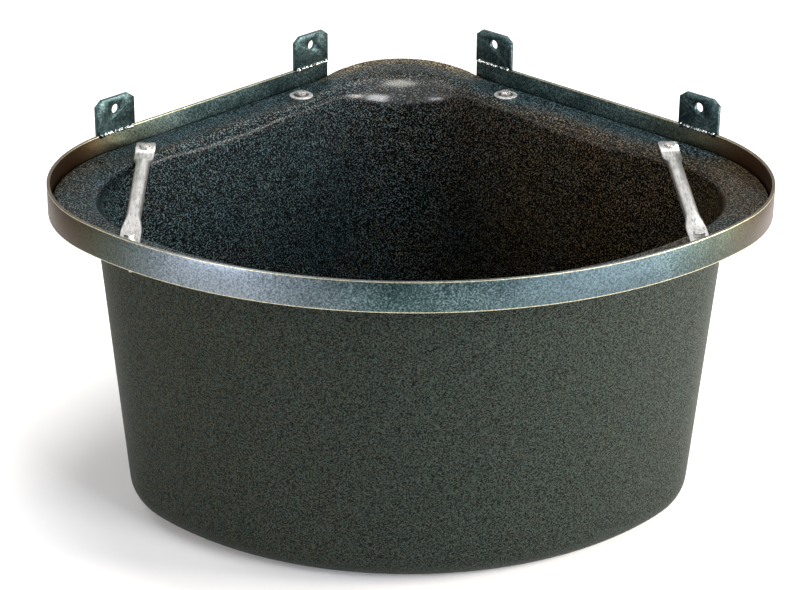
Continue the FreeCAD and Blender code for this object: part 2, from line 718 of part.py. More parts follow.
def side_bar(side_name):
    """Bar in its own frame: its rear hole at the origin, its front hole along -Y."""
    rear_tube_at = "(%s + sizes.rear_ramp)" % REAR_FLAT
    front_flat_at = "(%s - %s)" % (BAR_LENGTH, FRONT_FLAT)
    front_tube_at = "(%s - sizes.front_ramp)" % front_flat_at
    body = new_body("side_bar_" + side_name)

    def named(word):
        return "%s_%s" % (word, side_name)

    rear_end = pressed_section(body, named("rear_end"), "-sizes.pressed_margin")
    pad(body, named("rear_flat"), rear_end, "sizes.pressed_margin + " + REAR_FLAT)
    rear_pressed = pressed_section(body, named("rear_pressed"), REAR_FLAT)
    rear_round = tube_section(body, named("rear_round"), rear_tube_at)
    loft(body, "PartDesign::AdditiveLoft", named("rear_ramp"), rear_pressed, rear_round)
    tube_start = tube_section(body, named("tube_start"), rear_tube_at)
    pad(body, named("tube"), tube_start, "%s - %s" % (front_tube_at, rear_tube_at))
    front_round = tube_section(body, named("front_round"), front_tube_at)
    front_pressed = pressed_section(body, named("front_pressed"), front_flat_at)
    loft(body, "PartDesign::AdditiveLoft", named("front_ramp"), front_round, front_pressed)
    front_start = pressed_section(body, named("front_start"), front_flat_at)
    pad(body, named("front_flat"), front_start, "sizes.pressed_margin + " + FRONT_FLAT)

    holes = new_sketch(body, named("bar_holes"))
    circle_in(holes, "rear", ("0", "0"), "sizes.screw_hole")
    circle_in(holes, "front", ("0", "-" + BAR_LENGTH), "sizes.screw_hole")
    pocket(body, named("bar_hole_cut"), holes)
    trim = new_sketch(body, named("end_trim"))
    end_trim(trim)
    pocket(body, named("rounded_ends"), trim)
    seat = FLANGE_TOP + " + sizes.pressed_thickness / 2"
    place(body, "%d * %s" % (SIDES[side_name], BAR_X), "%s + %s" % (CORNER_Y, BAR_REAR_Y), seat)
    return body


def end_trim(sketch):
    """All that lies outside the bar's plan, whose four corners are rounded."""
    spare_x = "sizes.pressed_width"
    spare_top = "(sizes.pressed_margin + sizes.pressed_width)"
    spare_bottom = "(-%s - %s)" % (BAR_LENGTH, spare_top)
    polygon(sketch, "spare", [
        ("-" + spare_x, spare_bottom), (spare_x, spare_bottom),
        (spare_x, spare_top), ("-" + spare_x, spare_top),
    ])
    sides = {
        "top": ("Y", "sizes.pressed_margin"),
        "left": ("X", "-sizes.pressed_width / 2"),
        "bottom": ("Y", "(-%s - sizes.pressed_margin)" % BAR_LENGTH),
        "right": ("X", "sizes.pressed_width / 2"),
    }
    radius = value_of("sizes.pressed_corner")
    top, left, bottom, right = (value_of(expression) for axis, expression in sides.values())
    centres = [
        (right - radius, top - radius), (left + radius, top - radius),
        (left + radius, bottom + radius), (right - radius, bottom + radius),
    ]
    arcs = sketch.addGeometry([
        Part.ArcOfCircle(Part.Circle(Vector(x, y, 0), UP, radius), index * QUARTER, (index + 1) * QUARTER)
        for index, (x, y) in enumerate(centres)
    ], False)
    for here, following, (side_name, (axis, expression)) in zip(arcs, arcs[1:] + arcs[:1], sides.items()):
        ends = (sketch.getPoint(here, END), sketch.getPoint(following, START))
        side = sketch.addGeometry(Part.LineSegment(*ends), False)
        tangent(sketch, here, END, side, START)
        tangent(sketch, side, END, following, START)
        limit(sketch, "Horizontal" if axis == "Y" else "Vertical", side)
        pin(sketch, side_name, axis, expression, side, START)
    for arc in arcs[1:]:
        limit(sketch, "Equal", arcs[0], arc)
    bind(sketch, "corner", "sizes.pressed_corner", "Radius", arcs[0])


# Screws: hexagon heads that press on the bars and washers, with nuts under the ledge.

# How far out the bevel's cutting triangle reaches, as a share of the width across flats.
BEVEL_REACH = 0.7


def hexagon(sketch, flats):
    """Hexagon about the sketch's origin, with a corner on its X axis."""
    corner = flats + " / sqrt(3)"
    radius = value_of(corner)
    turns = [index * math.tau / 6 for index in range(6)]
    sides = outline(sketch, [Vector(radius * math.cos(turn), radius * math.sin(turn), 0) for turn in turns])
    guide = sketch.addGeometry(Part.Circle(Vector(), UP, radius), True)
    limit(sketch, "Coincident", guide, CENTRE, *ORIGIN)
    for line in sides:
        limit(sketch, "PointOnObject", line, START, guide)
    for line in sides[1:]:
        limit(sketch, "Equal", sides[0], line)
    limit(sketch, "PointOnObject", sides[0], START, X_AXIS)
    bind(sketch, "corner", corner, "Radius", guide)


def corner_bevels(body, name, flats, faces):
    """Turn the hexagon's corners off at a slant, at each face that faces names."""
    sketch = new_sketch(body, name + "_bevel", role="XZ_Plane")
    inner = "(%s / 2)" % flats
    outer = "(%s * %s)" % (BEVEL_REACH, flats)
    for index, (level, way) in enumerate(faces):
        slant = "(%s %s (%s - %s) * tan(sizes.corner_bevel * 1 deg))" % (level, way, outer, inner)
        polygon(sketch, "bevel_%d" % index, [(inner, level), (outer, level), (outer, slant)])
    turned(body, "PartDesign::Groove", name + "_bevels", sketch)


def screw(name):
    """Screw in its own frame: the head stands on the XY plane, the shank hangs below it."""
    body = new_body(name)
    half = new_sketch(body, name + "_half", role="XZ_Plane")
    shank = "sizes.screw_diameter / 2"
    polygon(half, "shank", [
        ("0", "0"), ("0", "-sizes.screw_length"), (shank + " - sizes.screw_point", "-sizes.screw_length"),
        (shank, "sizes.screw_point - sizes.screw_length"), (shank, "0"),
    ])
    turned(body, "PartDesign::Revolution", name + "_shank", half)
    top = new_sketch(body, name + "_head")
    hexagon(top, "sizes.head_flats")
    pad(body, name + "_head_block", top, "sizes.head_height")
    corner_bevels(body, name, "sizes.head_flats", [("sizes.head_height", "-")])
    return body


def nut(name):
    """Hexagon nut in its own frame: its upper face on the XY plane."""
    body = new_body(name)
    face = new_sketch(body, name + "_face")
    hexagon(face, "sizes.nut_flats")
    circle_in(face, "bore", ("0", "0"), "sizes.screw_diameter + 2 * sizes.thread_clearance")
    pad(body, name + "_block", face, "sizes.nut_height", reversed_way=True)
    corner_bevels(body, name, "sizes.nut_flats", [("0", "-"), ("-sizes.nut_height", "+")])
    return body


def washer(name):
    """Flat washer in its own frame: its underside on the XY plane."""
    body = new_body(name)
    face = new_sketch(body, name + "_face")
    circle_in(face, "outer", ("0", "0"), "sizes.washer_diameter")
    circle_in(face, "bore", ("0", "0"), "sizes.screw_diameter + 2 * sizes.washer_clearance")
    pad(body, name + "_plate", face, "sizes.washer_thickness")
    return body


# How far round each screw's head stopped when it was tightened, in degrees.
HEAD_TURNS = {
    "bar_screw_left_rear": 0.0, "bar_screw_left_front": 22.0,
    "bar_screw_right_rear": 7.0, "bar_screw_right_front": -19.0,
    "corner_screw_left": 12.0, "corner_screw_right": -26.0,
}


def screw_and_nut(words, spot, seat):
    """Screw with its head on a seat, and its nut under the ledge."""
    bolt = screw(words[0] + "_screw_" + words[1])
    place(bolt, *spot, seat, HEAD_TURNS[bolt.Label])
    below = nut(words[0] + "_nut_" + words[1])
    place(below, *spot, LEDGE_UNDERSIDE)
    return [bolt, below]


def fastenings():
    pieces = []
    for side_name, side in SIDES.items():
        spots = {
            name: ("%d * %s" % (side, x), "%s + %s" % (CORNER_Y, y))
            for name, (x, y) in SCREW_LINE.items()
        }
        for end in ("rear", "front"):
            words = ("bar", "%s_%s" % (side_name, end))
            pieces += screw_and_nut(words, spots["bar_" + end], BAR_TOP)
        disc = washer("corner_washer_" + side_name)
        place(disc, *spots["corner"], FLANGE_TOP)
        pieces.append(disc)
        pieces += screw_and_nut(("corner", side_name), spots["corner"], WASHER_TOP)
    return pieces


pieces = [tub(), rim_angle()]
pieces += wall_tabs(rim=pieces[-1])
pieces += [side_bar(side_name) for side_name in SIDES]
pieces += fastenings()
doc.recompute()

for item in doc.Objects:
    if "Invalid" in item.State or "Error" in item.State:
        raise RuntimeError("%s did not build: %s" % (item.Label, item.State))
for piece in pieces:
    if piece.Shape.isNull() or not piece.Shape.isValid() or len(piece.Shape.Solids) != 1:
        raise RuntimeError("%s is not one valid solid" % piece.Label)

os.makedirs("parts", exist_ok=True)
for piece in pieces:
    piece.Shape.exportStep("parts/%s.step" % piece.Label)
    print("%-24s %10.0f mm3" % (piece.Label, piece.Shape.Volume))
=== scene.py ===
import math

import bmesh
import bpy
from bpy.props import FloatProperty, FloatVectorProperty, PointerProperty
from mathutils import Matrix, Vector


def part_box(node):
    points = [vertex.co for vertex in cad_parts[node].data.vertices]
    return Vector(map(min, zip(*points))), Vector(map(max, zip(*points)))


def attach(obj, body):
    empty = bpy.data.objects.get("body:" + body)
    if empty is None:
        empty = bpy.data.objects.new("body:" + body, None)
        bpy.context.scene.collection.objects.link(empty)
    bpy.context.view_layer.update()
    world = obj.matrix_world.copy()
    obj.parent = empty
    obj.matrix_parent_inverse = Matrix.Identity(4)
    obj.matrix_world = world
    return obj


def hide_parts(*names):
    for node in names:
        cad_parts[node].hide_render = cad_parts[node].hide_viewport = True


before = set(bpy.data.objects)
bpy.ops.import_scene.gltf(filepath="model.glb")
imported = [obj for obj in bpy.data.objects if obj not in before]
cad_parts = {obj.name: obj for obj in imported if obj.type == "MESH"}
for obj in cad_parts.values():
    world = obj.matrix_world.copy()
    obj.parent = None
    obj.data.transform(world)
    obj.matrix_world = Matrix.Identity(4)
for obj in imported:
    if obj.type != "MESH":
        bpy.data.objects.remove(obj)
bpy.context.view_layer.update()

bl_info = {
    "name": "Corner Manger",
    "version": (1, 0, 0),
    "blender": (4, 5, 0),
    "location": "View3D > Sidebar > Manger",
    "description": "Dresses a corner manger: a moulded tub in a galvanised rim, with bars, tabs and screws",
    "category": "Object",
}

BODY = "root"
SIDES = {"left": -1, "right": 1}
WALL_ANGLE = math.radians(45)
MM = 0.001
# Places nearer to each other than this count as one.
HAIR = MM / 1000


def middle(node):
    """Centre of a CAD node's box."""
    low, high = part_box(node)
    return (Vector(low) + Vector(high)) / 2


# Selecting and editing


def only(piece):
    """Make one object the only one that is selected and active."""
    if bpy.context.object and bpy.context.object.mode != "OBJECT":
        bpy.ops.object.mode_set(mode="OBJECT")
    bpy.ops.object.select_all(action="DESELECT")
    piece.select_set(True)
    bpy.context.view_layer.objects.active = piece


def edit(piece, kind="VERT", action="DESELECT"):
    """Enter edit mode on one object with nothing or everything selected."""
    only(piece)
    bpy.ops.object.mode_set(mode="EDIT")
    bpy.ops.mesh.select_mode(type=kind)
    bpy.ops.mesh.select_all(action=action)


def leave():
    """Leave edit mode."""
    bpy.ops.object.mode_set(mode="OBJECT")


def leave_outwards():
    """Turn every face outwards and leave edit mode."""
    bpy.ops.mesh.select_all(action="SELECT")
    bpy.ops.mesh.normals_make_consistent(inside=False)
    leave()


def extrude(*step):
    """Extrude what is selected and move it by a step."""
    bpy.ops.mesh.extrude_region_move(TRANSFORM_OT_translate={"value": step})


def pick(piece, test, kind="verts"):
    """Select, in edit mode, the vertices, edges or faces whose middle passes a test."""
    bpy.ops.mesh.select_all(action="DESELECT")
    mesh = bmesh.from_edit_mesh(piece.data)
    for item in getattr(mesh, kind):
        corners = [item] if kind == "verts" else item.verts
        if test(sum((corner.co for corner in corners), Vector()) / len(corners)):
            item.select_set(True)
    mesh.select_flush_mode()
    bmesh.update_edit_mesh(piece.data)


def new_piece(name):
    """Name the primitive that was just added and put its place into its mesh."""
    piece = bpy.context.object
    piece.name = name
    piece.data.name = name
    bpy.ops.object.transform_apply(location=True, rotation=True, scale=True)
    return piece


def apply_modifier(piece, kind, **settings):
    """Add a modifier with its settings and apply it."""
    only(piece)
    modifier = piece.modifiers.new(kind.title(), kind)
    for key, value in settings.items():
        setattr(modifier, key, value)
    bpy.ops.object.modifier_apply(modifier=modifier.name)


def round_edges(piece, width, angle, segments=2):
    """Round the edges that turn by more than an angle in degrees."""
    apply_modifier(
        piece, "BEVEL", width=width, segments=segments, limit_method="ANGLE", angle_limit=math.radians(angle),
    )


def smooth(piece, angle):
    """Shade smooth across edges that turn by less than an angle in degrees."""
    only(piece)
    bpy.ops.object.shade_smooth_by_angle(angle=math.radians(angle))


def copy_at(piece, name, turn, place):
    """Copy a piece with a mesh of its own, turned about Z and moved, its place in its mesh."""
    twin = bpy.data.objects.new(name, piece.data.copy())
    twin.data.name = name
    bpy.context.collection.objects.link(twin)
    twin.data.transform(Matrix.Translation(place) @ Matrix.Rotation(turn, 4, "Z"))
    return twin


def discard(piece):
    """Remove a model that was only there to be copied or cut with."""
    bpy.data.meshes.remove(piece.data)


def at_height(node, z):
    """Place over or under the middle of a CAD node."""
    spot = middle(node)
    return Vector((spot.x, spot.y, z))


def finish_piece(piece, node, finish):
    """Give a piece its material and let it stand for its CAD node."""
    piece.data.materials.clear()
    piece.data.materials.append(finish)
    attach(piece, BODY)
    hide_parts(node)


def stand_copies(model, spots, finish):
    """Let a copy of a model stand for each CAD node, by name, turn about Z and place; drop the model."""
    for node, (name, turn, place) in spots.items():
        finish_piece(copy_at(model, name, turn, place), node, finish)
    discard(model)


# Faces of a CAD node that differ by less than this are one flat face, in degrees.
FLAT = 0.2
# Edges of cut steel that turn by more than this are eased, in degrees.
CUT_EDGE = 40


def eased_copy(node, name, edge, finish):
    """Welded copy of a CAD node with its sharp edges eased by a small round."""
    piece = bpy.data.objects.new(name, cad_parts[node].data.copy())
    piece.data.name = name
    bpy.context.collection.objects.link(piece)
    edit(piece, action="SELECT")
    bpy.ops.mesh.remove_doubles(threshold=HAIR)
    bpy.ops.mesh.dissolve_limited(angle_limit=math.radians(FLAT))
    leave()
    round_edges(piece, width=edge, angle=CUT_EDGE)
    smooth(piece, angle=CUT_EDGE)
    finish_piece(piece, node, finish)
    return piece


# Materials


def linear(colour):
    """Linear colour of an sRGB hex value."""
    channels = [int(colour[index:index + 2], 16) / 255 for index in (1, 3, 5)]
    return [c / 12.92 if c <= 0.04045 else ((c + 0.055) / 1.055) ** 2.4 for c in channels] + [1.0]


WHITE = linear("#FFFFFF")


def add_node(tree, kind, inputs=(), stops=(), **settings):
    """Add a shader node with its settings, its ramp's stops, its values and its links.

    Inputs in a row go to the node's first sockets, and inputs in a dictionary to the sockets it names.
    An input that is a node is linked to that node's first output. A MapRange node's row is its value,
    the range that it comes from and the range that it goes to. A Mix node's socket 0 is its factor,
    2 and 3 are its numbers, and 6 and 7 its colours, which come out at output 2.
    """
    node = tree.nodes.new("ShaderNode" + kind)
    for key, value in settings.items():
        setattr(node, key, value)
    for index, (position, colour) in enumerate(stops):
        elements = node.color_ramp.elements
        element = elements[index] if index < 2 else elements.new(position)
        element.position = position
        element.color = colour
    for key, value in inputs.items() if isinstance(inputs, dict) else enumerate(inputs):
        if isinstance(value, bpy.types.Node):
            value = value.outputs[0]
        if isinstance(value, bpy.types.NodeSocket):
            tree.links.new(value, node.inputs[key])
        else:
            node.inputs[key].default_value = value
    return node


def new_material(name):
    """Empty material with its node tree, and Object coordinates in millimetres."""
    material = bpy.data.materials.new(name)
    material.use_nodes = True
    tree = material.node_tree
    tree.nodes.clear()
    place = add_node(tree, "TexCoord").outputs["Object"]
    place = add_node(tree, "VectorMath", {0: place, "Scale": 1 / MM}, operation="SCALE")
    return material, tree, place


# Patterns of the tub, in millimetres. A spark-eroded grain is usually finer than 0.5 mm, which is too
# fine to show, so grain and specks are drawn this coarse.
TUB_GRAIN = 1.5
TUB_SPECK = 1.7
TUB_STAIN = 60.0
# Places that the tub's wear is measured from, in millimetres: the crown's middle, and the lip's middle in
# the wall corner.
CROWN_MIDDLE = (0.0, 242.0, 345.0)
LIP_MIDDLE = (0.0, 246.0, 319.0)


def moulded_polyethylene(colours):
    """Moulded polyethylene with a spark-eroded grain: specks of olive, brown and blue on near black.

    The specks are painted as sharp glints on black in the bowl and more softly outside, level faces
    are painted lighter as if light fell on them from above, and a waxy shine where the raised corner
    is rubbed smooth.
    """
    material, tree, place = new_material("moulded_polyethylene")
    axes = add_node(tree, "SeparateXYZ", (place,)).outputs
    normal = add_node(tree, "NewGeometry").outputs["Normal"]
    up = add_node(tree, "SeparateXYZ", (normal,)).outputs["Z"]
    # The flange's top, the crown and the bowl's floor lie level.
    level = add_node(tree, "MapRange", (up, 0.7, 0.95))
    grain = add_node(tree, "TexNoise", {"Vector": place, "Scale": 1 / TUB_GRAIN, "Detail": 1.0})
    speck = add_node(tree, "TexNoise", {"Vector": place, "Scale": 1 / TUB_SPECK, "Detail": 1.0})
    inside = bowl_colour(tree, place, axes, up, level, speck, colours)
    outside = outside_colour(tree, axes, speck, colours)

    # Outside is what faces away from the bowl's middle, and the underside.
    away = add_node(tree, "VectorMath", (place, (1.0, 1.0, 0.0)), operation="MULTIPLY")
    away = add_node(tree, "VectorMath", (away,), operation="NORMALIZE")
    facing = add_node(tree, "VectorMath", (normal, away), operation="DOT_PRODUCT").outputs["Value"]
    facing = add_node(tree, "MapRange", (facing, 0.2, 0.7))
    under = add_node(tree, "MapRange", (up, -0.8, -0.2, 1.0, 0.0))
    outer = add_node(tree, "Math", (facing, under), operation="MAXIMUM")

    # Painted highlight on the grain, over its own tone: its tops are painted as glints, softly outside, as
    # sharp points on black in the bowl.
    soft = add_node(tree, "MapRange", (grain, 0.38, 0.64, 0.22, 2.1))
    hard = add_node(tree, "MapRange", (grain, 0.53, 0.65, 0.0, 11.5))
    tops = add_node(tree, "Mix", {0: outer, 2: hard, 3: soft}, data_type="FLOAT")
    # Painted light: level faces are painted lighter, as if light fell on them from above.
    painted_top_light = add_node(tree, "MapRange", (level, 0.0, 1.0, 1.0, 1.5))
    tops = add_node(tree, "Math", (tops, painted_top_light), operation="MULTIPLY")
    colour = add_node(tree, "Mix", {0: outer, 6: inside, 7: outside}, data_type="RGBA").outputs[2]
    colour = add_node(tree, "VectorMath", {0: colour, "Scale": tops}, operation="SCALE")

    bump = add_node(tree, "Bump", {"Height": grain, "Strength": 0.5, "Distance": 0.6 * MM})
    shader = add_node(tree, "BsdfPrincipled", {
        "Base Color": colour, "Roughness": 0.45, "Normal": bump, "IOR": 1.51, "Specular IOR Level": 0.06,
        "Coat Weight": rubbed_lip(tree, place, up), "Coat Roughness": 0.2,
    })
    add_node(tree, "OutputMaterial", (shader,))
    return material


def outside_colour(tree, axes, speck, colours):
    """Colour outside: specks on olive, more teal to the middle and the right."""
    stops = ((0.38, colours.tub_brown), (0.5, colours.tub_olive), (0.62, colours.tub_blue))
    specks = add_node(tree, "ValToRGB", (speck,), stops)
    teal = add_node(tree, "MapRange", (axes["X"], -260.0, 0.0, 0.0, 0.6))
    return add_node(tree, "Mix", {0: teal, 6: specks, 7: colours.tub_teal}, data_type="RGBA").outputs[2]


def bowl_colour(tree, place, axes, up, level, speck, colours):
    """Colour inside: specks between blue and brown, with painted light in blue to the left, painted shade in
    blue by the rim's legs and in brown to the right, and brown on the crown.
    """
    # Painted light and shade: blue to the left for the cool light on that wall, brown to the right for the
    # shade on that wall, less on level faces.
    across = add_node(tree, "MapRange", (axes["X"], -90.0, 190.0, -0.5, 0.5))
    less = add_node(tree, "MapRange", (level, 0.0, 1.0, 1.0, 0.3))
    across = add_node(tree, "Math", (across, less), operation="MULTIPLY")
    stain_and_painted_light = add_node(tree, "TexNoise", {"Vector": place, "Scale": 1 / TUB_STAIN})
    stain_and_painted_light = add_node(tree, "Math", (stain_and_painted_light, 0.5), operation="SUBTRACT")
    more = add_node(tree, "MapRange", (level, 0.0, 1.0, 1.0, 1.8))
    stain_and_painted_light = add_node(tree, "Math", (stain_and_painted_light, more, across), operation="MULTIPLY_ADD")

    # Painted shade: level faces beside the rim's legs turn blue, for the shadow that the band casts there.
    # The legs lie where |X| + Y is the same all along.
    folded = add_node(tree, "Math", (axes["X"],), operation="ABSOLUTE")
    beside = add_node(tree, "Math", (folded, axes["Y"]), operation="ADD")
    beside = add_node(tree, "MapRange", (beside, 300.0, 335.0, 0.0, -0.9))
    legs = add_node(tree, "MapRange", (axes["Y"], 10.0, 80.0))
    legs = add_node(tree, "Math", (level, legs), operation="MULTIPLY")
    beside = add_node(tree, "Math", (beside, legs, stain_and_painted_light), operation="MULTIPLY_ADD")
    cast = add_node(tree, "Math", (speck, 3.0, beside), operation="MULTIPLY_ADD")
    cast = add_node(tree, "MapRange", (cast, 0.95, 2.05))
    cast = add_node(tree, "ValToRGB", (cast,), ((0.0, colours.bowl_blue), (1.0, colours.bowl_brown)))

    # The crown is brown along its back edge.
    off = add_node(tree, "VectorMath", (place, CROWN_MIDDLE), operation="DISTANCE").outputs["Value"]
    crown = add_node(tree, "MapRange", (off, 50.0, 78.0))
    for limit in ((off, 82.0, 120.0, 1.0, 0.0), (up, 0.55, 0.9), (axes["Y"], 245.0, 285.0)):
        share = add_node(tree, "MapRange", limit)
        crown = add_node(tree, "Math", (crown, share), operation="MULTIPLY")
    return add_node(tree, "Mix", {0: crown, 6: cast, 7: colours.crown_brown}, data_type="RGBA").outputs[2]


def rubbed_lip(tree, place, up):
    """Shine of the lip's roll, most of it in the wall corner, where muzzles and hands rub it."""
    off = add_node(tree, "VectorMath", (place, LIP_MIDDLE), operation="DISTANCE").outputs["Value"]
    rubbed = add_node(tree, "MapRange", (off, 40.0, 62.0, 1.0, 0.12))
    above_wall = add_node(tree, "MapRange", (up, 0.09, 0.14))
    below_top = add_node(tree, "MapRange", (up, 0.85, 0.97, 1.0, 0.0))
    rolled = add_node(tree, "Math", (above_wall, below_top), operation="MULTIPLY")
    return add_node(tree, "Math", (rubbed, rolled), operation="MULTIPLY")


def zinc(name, stops, roughness, grain, cloud, clouding=0.4, stretch=1.0, metallic=1.0, tints_and_painted_light=None):
    """Zinc coat on steel: a fine crystal grain in larger clouds that differ in grey and in shine.

    The sizes of grain and cloud are in millimetres. Real crystals are often finer than 1 mm, which is
    too fine to show, so none is drawn under 1.6 mm. Clouding is the clouds' share of the pattern, and
    a stretch under 1 draws the grain out along Y. A function for tints and painted light changes the
    colour by stains and crystal tone, and by painted reflections, glints and shadows.
    """
    material, tree, place = new_material(name)
    along = add_node(tree, "Mapping", {"Vector": place, "Scale": (1.0, stretch, 1.0)})
    crystals = add_node(tree, "TexNoise", {"Vector": along, "Scale": 1 / grain, "Roughness": 0.6})
    clouds = add_node(tree, "TexNoise", {"Vector": place, "Scale": 1 / cloud, "Detail": 3.0, "Roughness": 0.6})
    blend = add_node(tree, "Mix", {0: clouding, 2: crystals, 3: clouds}, data_type="FLOAT")
    colour = add_node(tree, "ValToRGB", (blend,), stops)
    if tints_and_painted_light:
        colour = tints_and_painted_light(tree, place, crystals, blend, colour)
    bump = add_node(tree, "Bump", {"Height": crystals, "Strength": 0.3, "Distance": 0.2 * MM})
    low, high = roughness
    shine = add_node(tree, "MapRange", (blend, 0.3, 0.7, low, high))
    shader = add_node(tree, "BsdfPrincipled", {
        "Base Color": colour, "Metallic": metallic, "Roughness": shine, "Normal": bump,
    })
    add_node(tree, "OutputMaterial", (shader,))
    return material


# Places on the rim's band, in millimetres: the middles and reaches of its two painted reflections, the
# stretches of |X| over which it browns, and the middle and half heights between which its edges get a painted
# glint.
PAINTED_REFLECTION_LEFT = ((-185.0, -276.0, 338.0), 165.0)
PAINTED_REFLECTION_RIGHT = ((165.0, -284.0, 338.0), 150.0)
OLIVE_STRETCH = (225.0, 300.0)
BROWN_STRETCH = (290.0, 340.0)
BAND_MIDDLE = 338.5
EDGE_GLINT = (13.9, 14.7)


def galvanised_band(colours):
    """Hot-dip galvanised steel: dull blue-grey zinc, browned at the side ends, with painted reflections on its
    front and a painted pale glint along its edges.
    """

    def tints_and_painted_light(tree, place, crystals, blend, colour):
        axes = add_node(tree, "SeparateXYZ", (place,)).outputs
        # Painted reflections: two pale patches on the band's front, where the soft boxes would be mirrored.
        patches = []
        for tint, (centre, radius) in ((colours.zinc_painted_reflection, PAINTED_REFLECTION_LEFT), (colours.zinc_painted_blue_reflection, PAINTED_REFLECTION_RIGHT)):
            off = add_node(tree, "VectorMath", (place, centre), operation="DISTANCE").outputs["Value"]
            patches.append((tint, (off, radius, 0.0, 0.0, 2.0), "SMOOTHSTEP"))
        out = add_node(tree, "Math", (axes["X"],), operation="ABSOLUTE")
        for tint, stretch in ((colours.tarnish_olive, OLIVE_STRETCH), (colours.tarnish_brown, BROWN_STRETCH)):
            patches.append((tint, (out, *stretch, 0.0, 1.8), "LINEAR"))
        for tint, row, way in patches:
            share = add_node(tree, "MapRange", row, interpolation_type=way)
            share = add_node(tree, "Math", (share, blend), operation="MULTIPLY")
            colour = add_node(tree, "Mix", {0: share, 6: colour, 7: tint}, data_type="RGBA").outputs[2]

        # Painted highlight: a pale glint along the band's top and bottom edges, on the steep faces, and little
        # on the level top.
        off = add_node(tree, "Math", (axes["Z"], BAND_MIDDLE), operation="SUBTRACT")
        off = add_node(tree, "Math", (off,), operation="ABSOLUTE")
        worn = add_node(tree, "MapRange", (off, *EDGE_GLINT))
        normal = add_node(tree, "NewGeometry").outputs["Normal"]
        up = add_node(tree, "SeparateXYZ", (normal,)).outputs["Z"]
        up = add_node(tree, "Math", (up,), operation="ABSOLUTE")
        steep = add_node(tree, "MapRange", (up, 0.6, 0.95, 1.0, 0.1))
        worn = add_node(tree, "Math", (worn, steep), operation="MULTIPLY")
        colour = add_node(tree, "Mix", {0: worn, 6: colour, 7: colours.painted_edge_glint}, data_type="RGBA").outputs[2]

        sparkle = add_node(tree, "MapRange", (crystals, 0.35, 0.65, 0.7, 1.3))
        return add_node(tree, "VectorMath", {0: colour, "Scale": sparkle}, operation="SCALE")

    stops = ((0.35, colours.zinc_dark), (0.5, colours.zinc_mid), (0.65, colours.zinc_light))
    return zinc("galvanised_band", stops, (0.26, 0.42), grain=1.8, cloud=60.0, tints_and_painted_light=tints_and_painted_light)


def galvanised_tab(colours):
    """Galvanised flat bar, a little darker than the band because it is thicker and cooled slower."""
    stops = ((0.35, colours.zinc_dark), (0.5, colours.zinc_mid), (0.68, colours.zinc_light))
    return zinc("galvanised_tab", stops, (0.34, 0.48), grain=2.0, cloud=5.0)


def weld_metal(colours):
    """Arc weld under zinc: lumpy, with a fine pattern of painted black shade and painted white glints."""
    # Painted shade in the dark stop and painted glints in the white one.
    stops = ((0.4, colours.weld_hollow), (0.5, colours.zinc_mid), (0.6, colours.weld_top))
    return zinc("weld_metal", stops, (0.16, 0.36), grain=1.6, cloud=6.0)


def bright_zinc(colours):
    """Electroplated zinc on cold-headed steel: silvery, with darker worn spots and a little white bloom."""
    stops = ((0.38, colours.plate_dark), (0.62, colours.plate_light))
    return zinc("bright_zinc_plate", stops, (0.2, 0.38), grain=1.6, cloud=5.0, metallic=0.75)


# Middle of the right corner washer, and where the painted shadow round its screw's head ends, in millimetres.
WASHER_MIDDLE = (109.6, 209.8, 336.0)
HEAD_SHADOW_RING = (7.6, 9.0)


def dull_zinc(colours):
    """Electroplated zinc on stamped steel: pale with white bloom, and a painted shadow round the screw's head.
    """

    def tints_and_painted_light(tree, place, crystals, blend, colour):
        folded = add_node(tree, "VectorMath", (place,), operation="ABSOLUTE")
        off = add_node(tree, "VectorMath", (folded, WASHER_MIDDLE), operation="DISTANCE").outputs["Value"]
        # Painted shadow: darker close round the screw's head.
        painted_head_shadow = add_node(tree, "MapRange", (off, *HEAD_SHADOW_RING, 0.9, 0.0))
        return add_node(tree, "Mix", {0: painted_head_shadow, 6: colour, 7: colours.painted_head_shadow}, data_type="RGBA").outputs[2]

    stops = ((0.4, colours.washer_dark), (0.6, colours.plate_light))
    return zinc("dull_zinc_plate", stops, (0.25, 0.4), grain=1.6, cloud=6.0, metallic=0.35, tints_and_painted_light=tints_and_painted_light)


def drawn_zinc(colours):
    """Electroplated zinc on drawn tube: silvery white and satin, with fine streaks along the tube.

    The real streaks are finer, and wouldn't show.
    """
    stops = ((0.34, colours.plate_dark), (0.46, colours.plate_mid), (0.64, colours.plate_light))
    return zinc("drawn_zinc_tube", stops, (0.42, 0.28), grain=1.6, cloud=14.0, clouding=0.35, stretch=0.12)


# Sizes and colours


def length(name, description, millimetres):
    """Length property with its default in millimetres."""
    return FloatProperty(name=name, description=description, default=millimetres * MM, unit="LENGTH")


def tone(name, description, default):
    """Colour property with its default as an sRGB hex value."""
    return FloatVectorProperty(
        name=name, description=description, default=linear(default), size=4, min=0, max=1, subtype="COLOR",
    )


